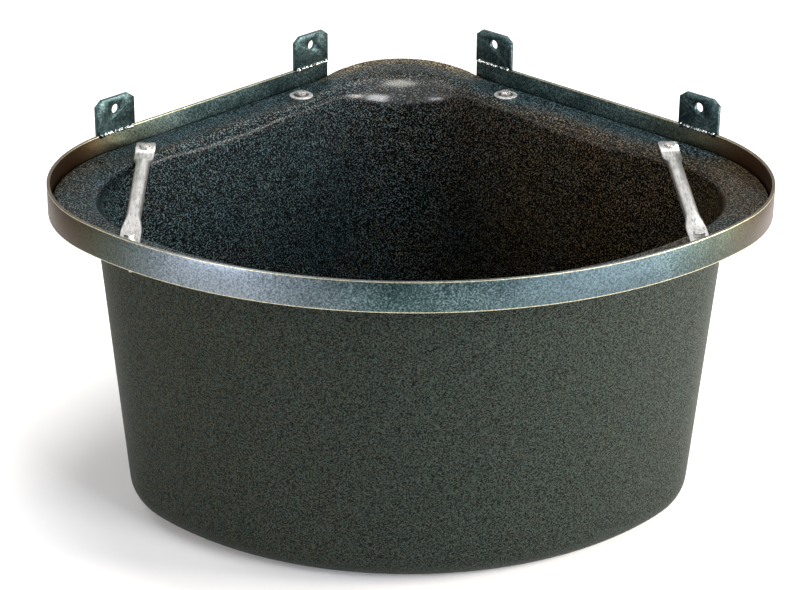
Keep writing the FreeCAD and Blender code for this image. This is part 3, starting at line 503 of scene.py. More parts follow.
class MangerSizes(bpy.types.PropertyGroup):
    wall_reach: length("Wall reach", "From the wall corner to the square end of each wall line", 600)
    side_radius: length("Side radius", "Rim's radius at its two sides", 172)
    front_radius: length("Front radius", "Rim's radius across the front", 412)
    tub_height: length("Tub height", "From the floor to the flange's underside", 326.5)
    tub_wall: length("Tub wall", "Thickness of the bowl's wall", 5)
    tub_floor: length("Tub floor", "Thickness of the bowl's floor", 6)
    draft: FloatProperty(
        name="Draft", description="Lean of the bowl's wall", default=math.radians(4.9), subtype="ANGLE",
    )
    tub_inset: length("Tub inset", "From the rim's outer face to the bowl's outside", 44)
    tub_corner: length("Tub corner", "Radius of the bowl in the wall corner", 105)
    bottom_radius: length("Bottom radius", "Radius round the bowl's foot", 36)
    flange_thickness: length("Flange thickness", "Thickness of the tub's flange", 8.4)
    flange_edge: length("Flange edge", "Round on the flange's edge", 2.5)
    flange_inset: length("Flange inset", "From the rim's outer face to the flange's edge", 4)
    rim_corner: length("Flange corner", "Radius of the flange in the wall corner", 78)
    crown_rise: length("Crown rise", "How far the flange rises into the wall corner", 4.6)
    crown_plateau: length("Crown plateau", "Half width of the crown's level top", 66)
    crown_half_width: length("Crown half width", "Half width of the crown at its foot", 95)
    edge_round: length("Edge round", "Round on the cut edges of the steel", 0.45)
    tube: length("Tube", "Diameter of the side bars", 14)
    pressed_width: length("Pressed width", "Width of a bar's flat end", 20)
    pressed_thickness: length("Pressed thickness", "Thickness of a bar's flat end", 3.2)
    pressed_corner: length("Pressed corner", "Corner radius of a bar's flat end", 4)
    pressed_margin: length("Pressed margin", "From a bar's end to its hole", 16.5)
    rear_flat: length("Rear flat", "Flat stretch past the rear hole", 24.5)
    rear_ramp: length("Rear ramp", "From the rear flat to the round tube", 18)
    front_flat: length("Front flat", "Flat stretch past the front hole", 16.5)
    front_ramp: length("Front ramp", "From the front flat to the round tube", 36)
    head_flats: length("Across flats", "Hexagon of the screws and nuts", 10)
    head_height: length("Head height", "Height of a screw's head", 4)
    head_round: length("Head round", "Round on the edges of a screw's head", 0.12)
    shank: length("Shank", "Diameter of the screws", 6)
    shank_length: length("Shank length", "Screw length under its head", 35)
    point_length: length("Point length", "Length of a screw's tapered tip", 1)
    thread_pitch: length("Thread pitch", "Distance between thread turns", 1)
    thread_depth: length("Thread depth", "Depth of the thread", 0.6)
    nut_height: length("Nut height", "Height of a nut", 5)
    nut_round: length("Nut round", "Round on the edges of a nut", 0.15)
    nut_play: length("Nut play", "Gap all round between a nut's bore and its screw", 0.1)
    washer: length("Washer", "Outer diameter of the corner washers", 25)
    washer_hole: length("Washer hole", "Bore of the corner washers", 6.4)
    washer_thickness: length("Washer thickness", "Thickness of the corner washers", 1.5)
    washer_round: length("Washer round", "Round on the edges of the corner washers", 0.4)
    bead_length: length("Bead length", "Length of a weld bead", 46)
    bead_width: length("Bead width", "Width of a weld bead across its slant", 5.6)
    bead_ripple: length("Bead ripple", "Distance between ripples of a weld bead", 3.1)


class MangerColours(bpy.types.PropertyGroup):
    tub_brown: tone("Tub, brown", "Brown specks outside", "#2D291F")
    tub_olive: tone("Tub, olive", "Ground of the tub's outside", "#282D22")
    tub_blue: tone("Tub, blue", "Blue specks outside", "#222D2D")
    tub_teal: tone("Tub, teal", "Cast over the outside's middle and right", "#232A27")
    # Blue and brown of the bowl: the specks' own tints, and painted light in blue on the left, painted shade in
    # brown on the right and in blue by the rim's legs.
    bowl_blue: tone("Bowl, blue", "Blue side of the bowl", "#131C1F")
    bowl_brown: tone("Bowl, brown", "Brown side of the bowl", "#1F190F")
    crown_brown: tone("Crown, brown", "Back edge of the raised corner", "#372F20")
    zinc_dark: tone("Zinc, dark", "Dull zinc", "#253436")
    zinc_mid: tone("Zinc, middle", "Weathered zinc", "#3A4D4F")
    zinc_light: tone("Zinc, light", "Light zinc crystals", "#647779")
    # Painted reflections of the soft boxes on the band's front.
    zinc_painted_reflection: tone("Zinc, fresh", "Bright patch of the band", "#7F8A93")
    zinc_painted_blue_reflection: tone("Zinc, blue", "Blue patch of the band", "#56676F")
    tarnish_olive: tone("Tarnish, olive", "Stained zinc", "#45483A")
    tarnish_brown: tone("Tarnish, brown", "Browned zinc", "#40260F")
    # Painted highlight along the band's top and bottom edges.
    painted_edge_glint: tone("Worn edge", "Zinc rubbed bare on the edges", "#C9C2A6")
    # Painted shade and painted glints of the weld.
    weld_hollow: tone("Weld, hollow", "Hollows between weld ripples", "#15191B")
    weld_top: tone("Weld, top", "Tops of the weld ripples", "#F6F6F2")
    plate_dark: tone("Plate, dark", "Worn plate", "#92908E")
    plate_mid: tone("Plate, middle", "Used plate", "#C4C2BF")
    plate_light: tone("Plate, light", "Bright plate", "#E3E1DE")
    washer_dark: tone("Washer, dark", "Scuffs on the washers", "#8A8C8C")
    # Painted shadow round the corner screws' heads.
    painted_head_shadow: tone("Dirt", "Dirt round the corner screws' heads", "#262823")
    floor: tone("Floor", "Studio floor", "#F4F4F4")


# Tub


class MANGER_OT_tub(bpy.types.Operator):
    """Mould the tub: drafted bowl, flange, crown and rolled lip"""
    bl_idname = "manger.tub"
    bl_label = "Tub"

    def execute(self, context):
        tub = moulded_tub(context.scene.manger_sizes)
        finish_piece(tub, "tub", moulded_polyethylene(context.scene.manger_colours))
        return {"FINISHED"}


# Points round the tub's plan on each stretch, from the wall corner round by the left.
PLAN_STEPS = (
    ("corner", 36), ("left_leg", 40), ("left_side", 32), ("front", 76), ("right_side", 32), ("right_leg", 40),
)
# Stretches on which the lip's roll and the flange's height change.
BACK = ("corner", "left_leg", "right_leg")
# Steps round the bowl's foot, the flange's root, the flange's edge and the lip's roll.
FOOT_STEPS = 10
ROOT_STEPS = 6
EDGE_STEPS = 4
LIP_STEPS = 14
# Radius of the lip's roll and of the flange's root, in millimetres, by distance from the centre plane.
LIP_ROLL = ((0, 34), (95, 11), (125, 11), (160, 16), (200, 16), (245, 10), (300, 9))
FLANGE_ROOT = ((0, 16), (74, 2), (300, 2))


def eased(share):
    """Share of the way that starts and stops gently."""
    return share * share * (3 - 2 * share)


def plan_stations():
    """Each point of the plan as its stretch and its share of the way along it."""
    return [(stretch, step / steps) for stretch, steps in PLAN_STEPS for step in range(steps)]


def plan_point(sizes, station, inset, corner):
    """Place of a station on the plan that is set in from the rim, from the wall corner as origin."""
    stretch, share = station
    root = math.sqrt(2)
    side_x = (sizes.wall_reach - 2 * sizes.side_radius) / root
    side_y = -sizes.wall_reach / root
    front_y = side_y + math.sqrt((sizes.front_radius - sizes.side_radius) ** 2 - side_x ** 2)
    turn = math.atan2(front_y - side_y, side_x)
    if stretch == "corner":
        angle = math.pi / 4 + share * math.pi / 2
        middle_y = -(inset + corner) * root
        return corner * math.cos(angle), middle_y + corner * math.sin(angle)
    if stretch in ("left_leg", "right_leg"):
        near, far = inset + corner, sizes.wall_reach - sizes.side_radius
        along = near + (far - near) * (share if stretch == "left_leg" else 1 - share)
        side = -1 if stretch == "left_leg" else 1
        return side * (along - inset) / root, -(along + inset) / root
    if stretch == "front":
        radius = sizes.front_radius - inset
        angle = math.pi + turn + share * (math.pi - 2 * turn)
        return radius * math.cos(angle), front_y + radius * math.sin(angle)
    radius = sizes.side_radius - inset
    start = 3 * math.pi / 4 if stretch == "left_side" else -turn
    angle = start + share * (math.pi / 4 + turn)
    side = -1 if stretch == "left_side" else 1
    return side * side_x + radius * math.cos(angle), side_y + radius * math.sin(angle)


def crown_lift(sizes, x, stretch):
    """How far the flange's top rises at a place near the wall corner."""
    if stretch not in BACK:
        return 0.0
    share = (sizes.crown_half_width - abs(x)) / (sizes.crown_half_width - sizes.crown_plateau)
    return sizes.crown_rise * eased(min(max(share, 0.0), 1.0))


def radius_at(table, x, stretch):
    """Radius from a table: wide in the wall corner, tight where screws and bars sit."""
    if stretch not in BACK:
        return table[-1][1] * MM
    place = abs(x) / MM
    for (start, first), (end, last) in zip(table, table[1:]):
        if place <= end:
            return (first + (last - first) * eased((place - start) / (end - start))) * MM
    return table[-1][1] * MM


def bowl_point(sizes, station, inset, z):
    """Place on a plan parallel to the bowl's."""
    return (*plan_point(sizes, station, inset, sizes.tub_inset + sizes.tub_corner - inset), z)


def bowl_side(sizes, wall, floor, radius, upwards):
    """Rings from a floor round its foot and part of the way up the drafted wall, or down again."""
    stations = plan_stations()
    slope = math.tan(sizes.draft)
    centre_z = floor + radius
    centre = wall - centre_z * slope + radius / math.cos(sizes.draft)
    line = []
    for step in range(FOOT_STEPS + 1):
        turn = math.pi / 2 + (sizes.draft - math.pi / 2) * step / FOOT_STEPS
        line.append((centre - radius * math.cos(turn), centre_z - radius * math.sin(turn)))
    for z in (floor + 1.3 * radius, floor * 0.5):
        line.append((wall - z * slope, z))
    if not upwards:
        line.reverse()
    return [[bowl_point(sizes, station, inset, z) for station in stations] for inset, z in line]


def turned_rings(sizes, wall, table, side, steps):
    """Rings round the roll of the lip (side 1) or the root under the flange (side -1)."""
    stations = plan_stations()
    slope = math.tan(sizes.draft)
    rounds = []
    for station in stations:
        x, y, z = bowl_point(sizes, station, wall, 0)
        radius = radius_at(table, x, station[0])
        top = sizes.flange_thickness + crown_lift(sizes, x, station[0]) if side == 1 else 0.0
        centre_z = top - radius
        rounds.append((radius, centre_z, wall - centre_z * slope - radius / math.cos(sizes.draft)))
    rings = []
    for step in range(steps + 1):
        turn = sizes.draft + (math.pi / 2 - sizes.draft) * step / steps
        rings.append([
            bowl_point(sizes, station, centre + radius * math.cos(turn), centre_z + radius * math.sin(turn))
            for station, (radius, centre_z, centre) in zip(stations, rounds)
        ])
    return rings


def flange_rings(sizes):
    """Rings from the flange's underside round its eased edge to its top."""
    edge = sizes.flange_edge
    turns = [math.pi / 2 * step / EDGE_STEPS for step in range(EDGE_STEPS + 1)]
    line = [(edge + 2 * MM, 0.0, False)]
    line += [(edge * (1 - math.sin(turn)), edge * (1 - math.cos(turn)), False) for turn in turns]
    line += [(edge * (1 - math.cos(turn)), -edge * (1 - math.sin(turn)), True) for turn in turns]
    rings = []
    for extra, rise, top in line:
        ring = []
        for station in plan_stations():
            x, y = plan_point(sizes, station, sizes.flange_inset + extra, sizes.rim_corner - extra)
            lift = sizes.flange_thickness + crown_lift(sizes, x, station[0]) if top else 0.0
            ring.append((x, y, rise + lift))
        rings.append(ring)
    return rings


def between(first, last, shares):
    """Rings on the straight way from one ring to another."""
    return [
        [tuple(a + (b - a) * share for a, b in zip(here, there)) for here, there in zip(first, last)]
        for share in shares
    ]


def tub_rings(sizes):
    """The tub's skin as rings round its plan, from its underside over the flange to its inner floor."""
    bottom = -sizes.tub_height
    inner = sizes.tub_inset + sizes.tub_wall
    outside = bowl_side(sizes, sizes.tub_inset, bottom, sizes.bottom_radius, True)
    root = turned_rings(sizes, sizes.tub_inset, FLANGE_ROOT, -1, ROOT_STEPS)
    flange = flange_rings(sizes)
    roll = turned_rings(sizes, inner, LIP_ROLL, 1, LIP_STEPS)
    roll.reverse()
    floor = bottom + sizes.tub_floor
    inside = bowl_side(sizes, inner, floor, sizes.bottom_radius - sizes.tub_wall, False)
    rings = outside + between(outside[-1], root[0], (0.95,)) + root
    rings += between(root[-1], flange[0], (0.1,)) + flange
    rings += between(flange[-1], roll[0], (0.12, 0.5, 0.9)) + roll
    rings += between(roll[-1], inside[0], (0.05,)) + inside
    return rings


def moulded_tub(sizes):
    """The tub, its rings extruded one from the next and its two floors closed."""
    low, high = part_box("tub")
    back = math.sqrt(2) * (sizes.flange_inset + sizes.rim_corner) - sizes.rim_corner
    wall_corner = Vector((0, high[1] + back, low[2] + sizes.tub_height))
    rings = tub_rings(sizes)
    bpy.ops.mesh.primitive_circle_add(vertices=len(rings[0]), radius=1.0, fill_type="NOTHING")
    piece = new_piece("moulded_tub")
    edit(piece, action="SELECT")
    for index, ring in enumerate(rings):
        if index:
            extrude(0, 0, 0)
        mesh = bmesh.from_edit_mesh(piece.data)
        fresh = sorted((v for v in mesh.verts if v.select), key=lambda v: v.index)
        for vertex, place in zip(fresh, ring):
            vertex.co = wall_corner + Vector(place)
        bmesh.update_edit_mesh(piece.data)
    bpy.ops.mesh.edge_face_add()
    pick(piece, lambda place: place.z < low[2] + HAIR)
    bpy.ops.mesh.edge_face_add()
    leave_outwards()
    smooth(piece, angle=50)
    return piece


# Rim, tabs and welds


class MANGER_OT_rim(bpy.types.Operator):
    """Dress the rolled steel rim and ease its cut edges"""
    bl_idname = "manger.rim"
    bl_label = "Rim"

    def execute(self, context):
        edge = context.scene.manger_sizes.edge_round
        eased_copy("rim_angle", "rolled_rim", edge, galvanised_band(context.scene.manger_colours))
        return {"FINISHED"}


class MANGER_OT_tabs(bpy.types.Operator):
    """Dress the four wall tabs and ease their cut edges"""
    bl_idname = "manger.tabs"
    bl_label = "Wall tabs"

    def execute(self, context):
        edge = context.scene.manger_sizes.edge_round
        finish = galvanised_tab(context.scene.manger_colours)
        for side in SIDES:
            for place in ("outer", "inner"):
                spot = "%s_%s" % (side, place)
                eased_copy("wall_tab_" + spot, "tab_" + spot, edge, finish)
        return {"FINISHED"}


class MANGER_OT_welds(bpy.types.Operator):
    """Lay the rippled weld beads at the feet of the tabs"""
    bl_idname = "manger.welds"
    bl_label = "Weld beads"

    def execute(self, context):
        spots = {}
        for side, sign in SIDES.items():
            for place in ("outer", "inner"):
                node = "tab_weld_%s_%s" % (side, place)
                spots[node] = (node.replace("tab_weld", "bead"), -sign * WALL_ANGLE, middle(node))
        finish = weld_metal(context.scene.manger_colours)
        stand_copies(rippled_bead(context.scene.manger_sizes), spots, finish)
        return {"FINISHED"}


# Widths along a bead, as shares of its own: its two tips, the blob at each end, the tops and hollows
# of its ripples, and how much the ripples wander.
BEAD_TIP = 0.35
BEAD_BLOB = (1.25, 1.05, 0.88)
BEAD_TOP = 0.8
BEAD_HOLLOW = 0.62
BEAD_WANDER = 0.12


def rippled_bead(sizes):
    """One bead along X, laid in overlapping ripples with a blob at each end, its heart at the origin."""
    count = round(sizes.bead_length / sizes.bead_ripple)
    step = sizes.bead_length / count / 2
    bpy.ops.mesh.primitive_circle_add(
        vertices=12, radius=sizes.bead_width / 2, fill_type="NGON",
        location=(-sizes.bead_length / 2, 0, 0), rotation=(0, math.pi / 2, 0),
    )
    bead = new_piece("bead")
    edit(bead, action="SELECT")
    size = BEAD_TIP
    bpy.ops.transform.resize(value=(1, size, size))
    for index in range(2 * count):
        extrude(step, 0, 0)
        away = min(index + 1, 2 * count - index - 1)
        target = BEAD_TOP if index % 2 else BEAD_HOLLOW
        if 0 < away <= len(BEAD_BLOB):
            target = BEAD_BLOB[away - 1]
        target = target * (1 + BEAD_WANDER * math.sin(2.1 * index)) if away else BEAD_TIP
        bpy.ops.transform.resize(value=(1, target / size, target / size))
        size = target
    leave_outwards()
    apply_modifier(bead, "SUBSURF", levels=2, render_levels=2)
    smooth(bead, angle=80)
    return bead


# Side bars


class MANGER_OT_bars(bpy.types.Operator):
    """Form the two side bars from tube with pressed ends"""
    bl_idname = "manger.bars"
    bl_label = "Side bars"

    def execute(self, context):
        spots = {}
        for side in SIDES:
            node = "side_bar_" + side
            spot = middle(node)
            spot.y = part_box(node)[1][1]
            spots[node] = ("bar_" + side, 0, spot)
        finish = drawn_zinc(context.scene.manger_colours)
        low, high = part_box("side_bar_left")
        stand_copies(pressed_bar(context.scene.manger_sizes, high[1] - low[1]), spots, finish)
        return {"FINISHED"}


# Turns of the corner of a bar's flat end, in degrees, and steps from the flat to the round tube.
CORNER_TURNS = (0, 30, 60, 90)
RAMP_STEPS = 10


def bar_stations(sizes, length):
    """Outline of a bar as places along it, each with half the flat's width and the radius of its edge."""
    flat_radius = sizes.pressed_thickness / 2
    tube_radius = sizes.tube / 2
    flat_half = sizes.pressed_width / 2 - flat_radius
    corner = sizes.pressed_corner
    stations = []

    def flat(y, cut=0.0):
        stations.append((y, flat_half - cut, flat_radius))

    def ramp(start, end, opening):
        for index in range(1, RAMP_STEPS):
            share = index / RAMP_STEPS
            part = eased(share if opening else 1 - share)
            radius = flat_radius + (tube_radius - flat_radius) * part
            stations.append((start + (end - start) * share, flat_half * (1 - part), radius))

    for turn in CORNER_TURNS:
        angle = math.radians(turn)
        flat(-corner * (1 - math.cos(math.pi / 2 - angle)), corner * (1 - math.sin(angle)))
    rear_end = -sizes.pressed_margin - sizes.rear_flat
    rear_round = rear_end - sizes.rear_ramp
    front_end = -length + sizes.pressed_margin + sizes.front_flat
    front_round = front_end + sizes.front_ramp
    flat(rear_end)
    ramp(rear_end, rear_round, True)
    stations.append((rear_round, 0.0, tube_radius))
    stations.append((front_round, 0.0, tube_radius))
    ramp(front_round, front_end, False)
    flat(front_end)
    for turn in reversed(CORNER_TURNS):
        angle = math.radians(turn)
        flat(-length + corner * (1 - math.cos(math.pi / 2 - angle)), corner * (1 - math.sin(angle)))
    return stations


def pressed_bar(sizes, length):
    """Tube along -Y from the origin, both ends pressed flat with round corners."""
    bpy.ops.mesh.primitive_circle_add(
        vertices=40, radius=1.0, fill_type="NOTHING", rotation=(math.pi / 2, 0, 0),
    )
    bar = new_piece("bar")
    edit(bar, action="SELECT")
    y, half, radius = 0.0, 0.0, 1.0
    for index, (next_y, next_half, next_radius) in enumerate(bar_stations(sizes, length)):
        if index:
            extrude(0, next_y - y, 0)
        mesh = bmesh.from_edit_mesh(bar.data)
        for vertex in (v for v in mesh.verts if v.select):
            way = (vertex.co.x > HAIR) - (vertex.co.x < -HAIR)
            across = (vertex.co.x - way * half) / radius
            height = vertex.co.z / radius
            vertex.co = Vector((way * next_half + across * next_radius, next_y, height * next_radius))
        bmesh.update_edit_mesh(bar.data)
        y, half, radius = next_y, next_half, next_radius
    bpy.ops.mesh.edge_face_add()
    pick(bar, lambda place: place.y > -HAIR)
    bpy.ops.mesh.edge_face_add()
    leave_outwards()
    smooth(bar, angle=40)
    return bar


# Screws, nuts and washers

# How far each screw's head happens to be turned, in degrees.
SCREW_TURNS = {
    "bar_screw_left_rear": 0, "bar_screw_left_front": 22, "bar_screw_right_rear": 7,
    "bar_screw_right_front": -19, "corner_screw_left": 12, "corner_screw_right": -26,
}


class MANGER_OT_screws(bpy.types.Operator):
    """Turn and thread the six hexagon screws"""
    bl_idname = "manger.screws"
    bl_label = "Screws"

    def execute(self, context):
        sizes = context.scene.manger_sizes
        spots = {}
        for node, turn in SCREW_TURNS.items():
            seat = at_height(node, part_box(node)[1][2] - sizes.head_height)
            spots[node] = (node.replace("screw", "bolt"), math.radians(turn), seat)
        finish = bright_zinc(context.scene.manger_colours)
        stand_copies(threaded_screw(sizes), spots, finish)
        return {"FINISHED"}


# Circle on a chamfered hexagon's face, as a share of the one that touches its flats, and the
# chamfer's slope.
CHAMFER_CIRCLE = 0.96
CHAMFER_SLOPE = math.radians(30)


def chamfered_hexagon(name, flats, height, both_ends):
    """Hexagon block on the XY plane, its corners turned off to a cone."""
    corner = flats / math.sqrt(3)
    top = flats / 2 * CHAMFER_CIRCLE
    drop = (corner - top) * math.tan(CHAMFER_SLOPE)
    start = drop if both_ends else 0
    bpy.ops.mesh.primitive_cylinder_add(
        vertices=60, radius=corner, depth=height - drop - start, location=(0, 0, (height - drop + start) / 2),
    )
    blank = new_piece("turned_blank")
    edit(blank, "FACE")
    pick(blank, lambda place: place.z > height - drop - HAIR, "faces")
    extrude(0, 0, drop)
    bpy.ops.transform.resize(value=(top / corner, top / corner, 1))
    if both_ends:
        pick(blank, lambda place: place.z < start + HAIR, "faces")
        extrude(0, 0, -drop)
        bpy.ops.transform.resize(value=(top / corner, top / corner, 1))
    leave()
    bpy.ops.mesh.primitive_cylinder_add(
        vertices=6, radius=corner, depth=2 * height, location=(0, 0, height / 2), rotation=(0, 0, math.pi / 6),
    )
    piece = new_piece(name)
    apply_modifier(piece, "BOOLEAN", operation="INTERSECT", solver="EXACT", object=blank)
    discard(blank)
    return piece


# Tip of a screw as a share of its core, and how far the thread sinks into the core.
TIP_TAPER = 0.8
THREAD_SINK = 0.99
# Turns that are left off under the head.
PLAIN_TURNS = 3


def threaded_screw(sizes):
    """Hexagon screw, the underside of its head on the XY plane, threaded from its tip to a few turns under its
    head.
    """
    head = chamfered_hexagon("screw", sizes.head_flats, sizes.head_height, False)
    round_edges(head, width=sizes.head_round, angle=25)
    root = sizes.shank / 2 - sizes.thread_depth
    low = sizes.point_length - sizes.shank_length
    bpy.ops.mesh.primitive_cylinder_add(vertices=32, radius=root, depth=-low, location=(0, 0, low / 2))
    core = new_piece("core")
    edit(core, "FACE")
    pick(core, lambda place: place.z < low + HAIR, "faces")
    extrude(0, 0, -sizes.point_length)
    bpy.ops.transform.resize(value=(TIP_TAPER, TIP_TAPER, 1))
    leave()
    thread = wound_thread(sizes, root, low)
    only(head)
    core.select_set(True)
    thread.select_set(True)
    bpy.ops.object.join()
    smooth(head, angle=30)
    return head


def wound_thread(sizes, root, low):
    """Thread wound upwards round Z from a height, its two ends closed."""
    thread = bpy.data.objects.new("thread", bpy.data.meshes.new("thread"))
    bpy.context.collection.objects.link(thread)
    pitch = sizes.thread_pitch
    turns = int((sizes.shank_length - sizes.point_length - PLAIN_TURNS * pitch) / pitch)
    sunk = root * THREAD_SINK
    profile = [(sunk, 0, low), (sizes.shank / 2, 0, low + pitch / 2), (sunk, 0, low + pitch)]
    thread.data.from_pydata(profile, [(0, 1), (1, 2)], [])
    apply_modifier(
        thread, "SCREW", angle=math.tau, steps=24, render_steps=24, iterations=turns, screw_offset=pitch,
        use_merge_vertices=True, merge_threshold=HAIR,
    )
    edit(thread)
    for end in (low + pitch / 2, low + pitch / 2 + turns * pitch):
        pick(thread, lambda place: abs(place.y) < HAIR and place.x > 0 and abs(place.z - end) < pitch * 0.51)
        bpy.ops.mesh.merge(type="CENTER")
    leave_outwards()
    return thread


class MANGER_OT_nuts(bpy.types.Operator):
    """Form the six hexagon nuts under the ledge"""
    bl_idname = "manger.nuts"
    bl_label = "Nuts"

    def execute(self, context):
        nodes = ["corner_nut_" + side for side in SIDES]
        nodes += ["bar_nut_%s_%s" % (side, end) for side in SIDES for end in ("rear", "front")]
        spots = {node: (node.replace("nut", "hex"), 0, at_height(node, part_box(node)[0][2])) for node in nodes}
        finish = bright_zinc(context.scene.manger_colours)
        stand_copies(bored_nut(context.scene.manger_sizes), spots, finish)
        return {"FINISHED"}


def bored_nut(sizes):
    """Hexagon nut standing on the XY plane, chamfered at both ends and bored."""
    nut = chamfered_hexagon("nut", sizes.head_flats, sizes.nut_height, True)
    bpy.ops.mesh.primitive_cylinder_add(
        vertices=40, radius=sizes.shank / 2 + sizes.nut_play, depth=3 * sizes.nut_height,
    )
    drill = new_piece("drill")
    apply_modifier(nut, "BOOLEAN", operation="DIFFERENCE", solver="EXACT", object=drill)
    discard(drill)
    round_edges(nut, width=sizes.nut_round, angle=25)
    smooth(nut, angle=30)
    return nut


class MANGER_OT_washers(bpy.types.Operator):
    """Stamp the two wide washers of the corner screws"""
    bl_idname = "manger.washers"
    bl_label = "Washers"

    def execute(self, context):
        spots = {}
        for side in SIDES:
            node = "corner_washer_" + side
            spots[node] = ("wide_washer_" + side, 0, at_height(node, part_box(node)[0][2]))
        finish = dull_zinc(context.scene.manger_colours)
        stand_copies(stamped_washer(context.scene.manger_sizes), spots, finish)
        return {"FINISHED"}


def stamped_washer(sizes):
    """Flat ring on the XY plane with the rolled-over edge that a punch leaves."""
    bpy.ops.mesh.primitive_circle_add(vertices=64, radius=sizes.washer_hole / 2, fill_type="NOTHING")
    washer = new_piece("washer")
    edit(washer, action="SELECT")
    extrude(0, 0, 0)
    ratio = sizes.washer / sizes.washer_hole
    bpy.ops.transform.resize(value=(ratio, ratio, 1))
    bpy.ops.mesh.select_all(action="SELECT")
    extrude(0, 0, sizes.washer_thickness)
    leave_outwards()
    round_edges(washer, width=sizes.washer_round, angle=40, segments=3)
    smooth(washer, angle=30)
    return washer


# Stage

# The photograph's camera, fitted to the rim's plan, its height and its tabs: its place in
# millimetres, its turns in degrees and its focal length in pixels of an image this wide.
CAMERA_PLACE = Vector((-81.84, -2413.09, 1291.98)) * MM
CAMERA_PAN = 1.7445
CAMERA_TILT = 24.4176
CAMERA_ROLL = 0.4989
FOCAL_PIXELS = 2600
IMAGE_WIDTH = 800
SENSOR_WIDTH = 36

# Soft boxes: name, place and aim in metres, side in metres, power in watts and colour.
LAMPS = (
    ("back_box", (1.2, 1.5, 2.2), (0, 0, 0.1), 0.6, 9, "#FFFFFF"),
    ("right_box", (1.5, -1.7, 1.1), (0, 0, 0.3), 1.1, 49, "#FBFBFF"),
    ("side_box", (2.0, -0.4, 0.7), (0, 0, 0.2), 0.8, 60, "#FFF6EA"),
    ("top_box", (0.15, -0.05, 2.3), (0, 0.1, 0.3), 0.9, 21, "#FFFAF2"),
    ("left_box", (-1.5, 0.6, 2.0), (0, 0, 0.2), 0.8, 7, "#FFFFFF"),
    ("warm_box", (-2.1, -0.2, 0.9), (0, 0, 0.2), 0.8, 8, "#FFF2E4"),
    ("low_box", (-1.6, -1.45, 0.6), (0, 0, 0.3), 0.6, 12, "#F4F4FF"),
)
# Strength of the white surroundings as light. The camera, metal and gloss see them at full white.
AMBIENT = 0.28

# Studio floor: its side and its middle in metres, a hair under the tub's foot, and its paper grain in
# millimetres, drawn coarser than real.
FLOOR_SIDE = 30
FLOOR_MIDDLE = (0, 8, -0.0002)
PAPER_GRAIN = 2.0
# Distance from the manger over which the floor turns white to the camera, in millimetres, and how much.
FLOOR_FADE = (330.0, 580.0)
FLOOR_GLOW = (0.07, 0.6)


class MANGER_OT_stage(bpy.types.Operator):
    """Set up the floor, the soft studio light and the camera"""
    bl_idname = "manger.stage"
    bl_label = "Stage"

    def execute(self, context):
        floor(context.scene.manger_colours)
        for box in LAMPS:
            lamp(*box)
        surroundings(context.scene)
        camera(context.scene)
        context.scene.view_settings.view_transform = "Standard"
        return {"FINISHED"}


def floor(colours):
    """Pale floor with a painted glow to the camera that rises with distance from the manger, so that it shows
    white far off and the shadow fades out.
    """
    bpy.ops.mesh.primitive_grid_add(x_subdivisions=8, y_subdivisions=8, size=FLOOR_SIDE, location=FLOOR_MIDDLE)
    plane = new_piece("studio_floor")
    material, tree, place = new_material("studio_paper")
    paper = add_node(tree, "TexNoise", {"Vector": place, "Scale": 1 / PAPER_GRAIN})
    paper = add_node(tree, "ValToRGB", (paper,), ((0.3, colours.floor), (0.7, WHITE)))
    matt = add_node(tree, "BsdfDiffuse", {"Color": paper})
    reach = add_node(tree, "VectorMath", (place,), operation="LENGTH").outputs["Value"]
    # Painted light: the floor glows to the camera more the farther it lies from the manger, which lightens and
    # shortens the shadow.
    fade = add_node(tree, "MapRange", (reach, *FLOOR_FADE, *FLOOR_GLOW))
    seen = add_node(tree, "LightPath").outputs["Is Camera Ray"]
    fade = add_node(tree, "Math", (seen, fade), operation="MULTIPLY")
    glow = add_node(tree, "Emission", {"Color": WHITE, "Strength": fade})
    both = add_node(tree, "AddShader", (matt, glow))
    add_node(tree, "OutputMaterial", (both,))
    plane.data.materials.append(material)


def lamp(name, place, aim, side, power, colour):
    """Square soft box at a place, turned to its aim."""
    bpy.ops.object.light_add(type="AREA", location=place)
    light = bpy.context.object
    light.name = name
    light.data.size = side
    light.data.energy = power
    light.data.color = linear(colour)[:3]
    light.rotation_euler = (Vector(aim) - Vector(place)).to_track_quat("-Z", "Y").to_euler()


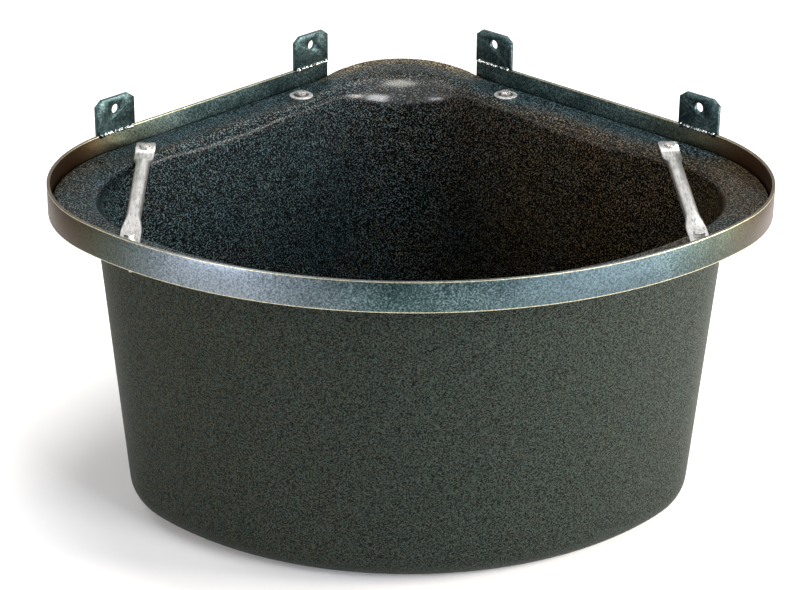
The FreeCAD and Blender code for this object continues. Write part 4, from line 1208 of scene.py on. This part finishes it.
def surroundings(scene):
    """White surroundings that light softly."""
    world = bpy.data.worlds.new("studio")
    world.use_nodes = True
    scene.world = world
    tree = world.node_tree
    tree.nodes.clear()
    path = add_node(tree, "LightPath")
    seen = path.outputs["Is Camera Ray"]
    for kind in ("Is Glossy Ray", "Is Transmission Ray"):
        seen = add_node(tree, "Math", (seen, path.outputs[kind]), operation="MAXIMUM")
    strength = add_node(tree, "MapRange", (seen, 0.0, 1.0, AMBIENT, 1.0))
    sky = add_node(tree, "Background", {"Color": WHITE, "Strength": strength})
    add_node(tree, "OutputWorld", (sky,))


def camera(scene):
    """The photograph's camera."""
    bpy.ops.object.camera_add()
    view = bpy.context.object
    view.name = "photo_camera"
    view.data.sensor_width = SENSOR_WIDTH
    view.data.lens = SENSOR_WIDTH * FOCAL_PIXELS / IMAGE_WIDTH
    view.data.clip_end = 100
    turns = (
        Matrix.Rotation(math.radians(-CAMERA_PAN), 4, "Z")
        @ Matrix.Rotation(math.radians(90 - CAMERA_TILT), 4, "X")
        @ Matrix.Rotation(math.radians(CAMERA_ROLL), 4, "Z")
    )
    view.matrix_world = Matrix.Translation(CAMERA_PLACE) @ turns
    scene.camera = view


# Add-on


class MANGER_PT_panel(bpy.types.Panel):
    """Builds the manger's pieces one by one"""
    bl_idname = "MANGER_PT_panel"
    bl_label = "Corner Manger"
    bl_space_type = "VIEW_3D"
    bl_region_type = "UI"
    bl_category = "Manger"

    def draw(self, context):
        for operator in OPERATORS:
            self.layout.operator(operator.bl_idname)


OPERATORS = (
    MANGER_OT_tub, MANGER_OT_rim, MANGER_OT_tabs, MANGER_OT_welds, MANGER_OT_bars,
    MANGER_OT_screws, MANGER_OT_nuts, MANGER_OT_washers, MANGER_OT_stage,
)
CLASSES = (MangerSizes, MangerColours) + OPERATORS + (MANGER_PT_panel,)


def register():
    for item in CLASSES:
        bpy.utils.register_class(item)
    bpy.types.Scene.manger_sizes = PointerProperty(type=MangerSizes)
    bpy.types.Scene.manger_colours = PointerProperty(type=MangerColours)


def unregister():
    del bpy.types.Scene.manger_colours
    del bpy.types.Scene.manger_sizes
    for item in reversed(CLASSES):
        bpy.utils.unregister_class(item)


def main():
    register()
    bpy.ops.manger.tub()
    bpy.ops.manger.rim()
    bpy.ops.manger.tabs()
    bpy.ops.manger.welds()
    bpy.ops.manger.bars()
    bpy.ops.manger.screws()
    bpy.ops.manger.nuts()
    bpy.ops.manger.washers()
    bpy.ops.manger.stage()


if __name__ == "__main__":
    main()
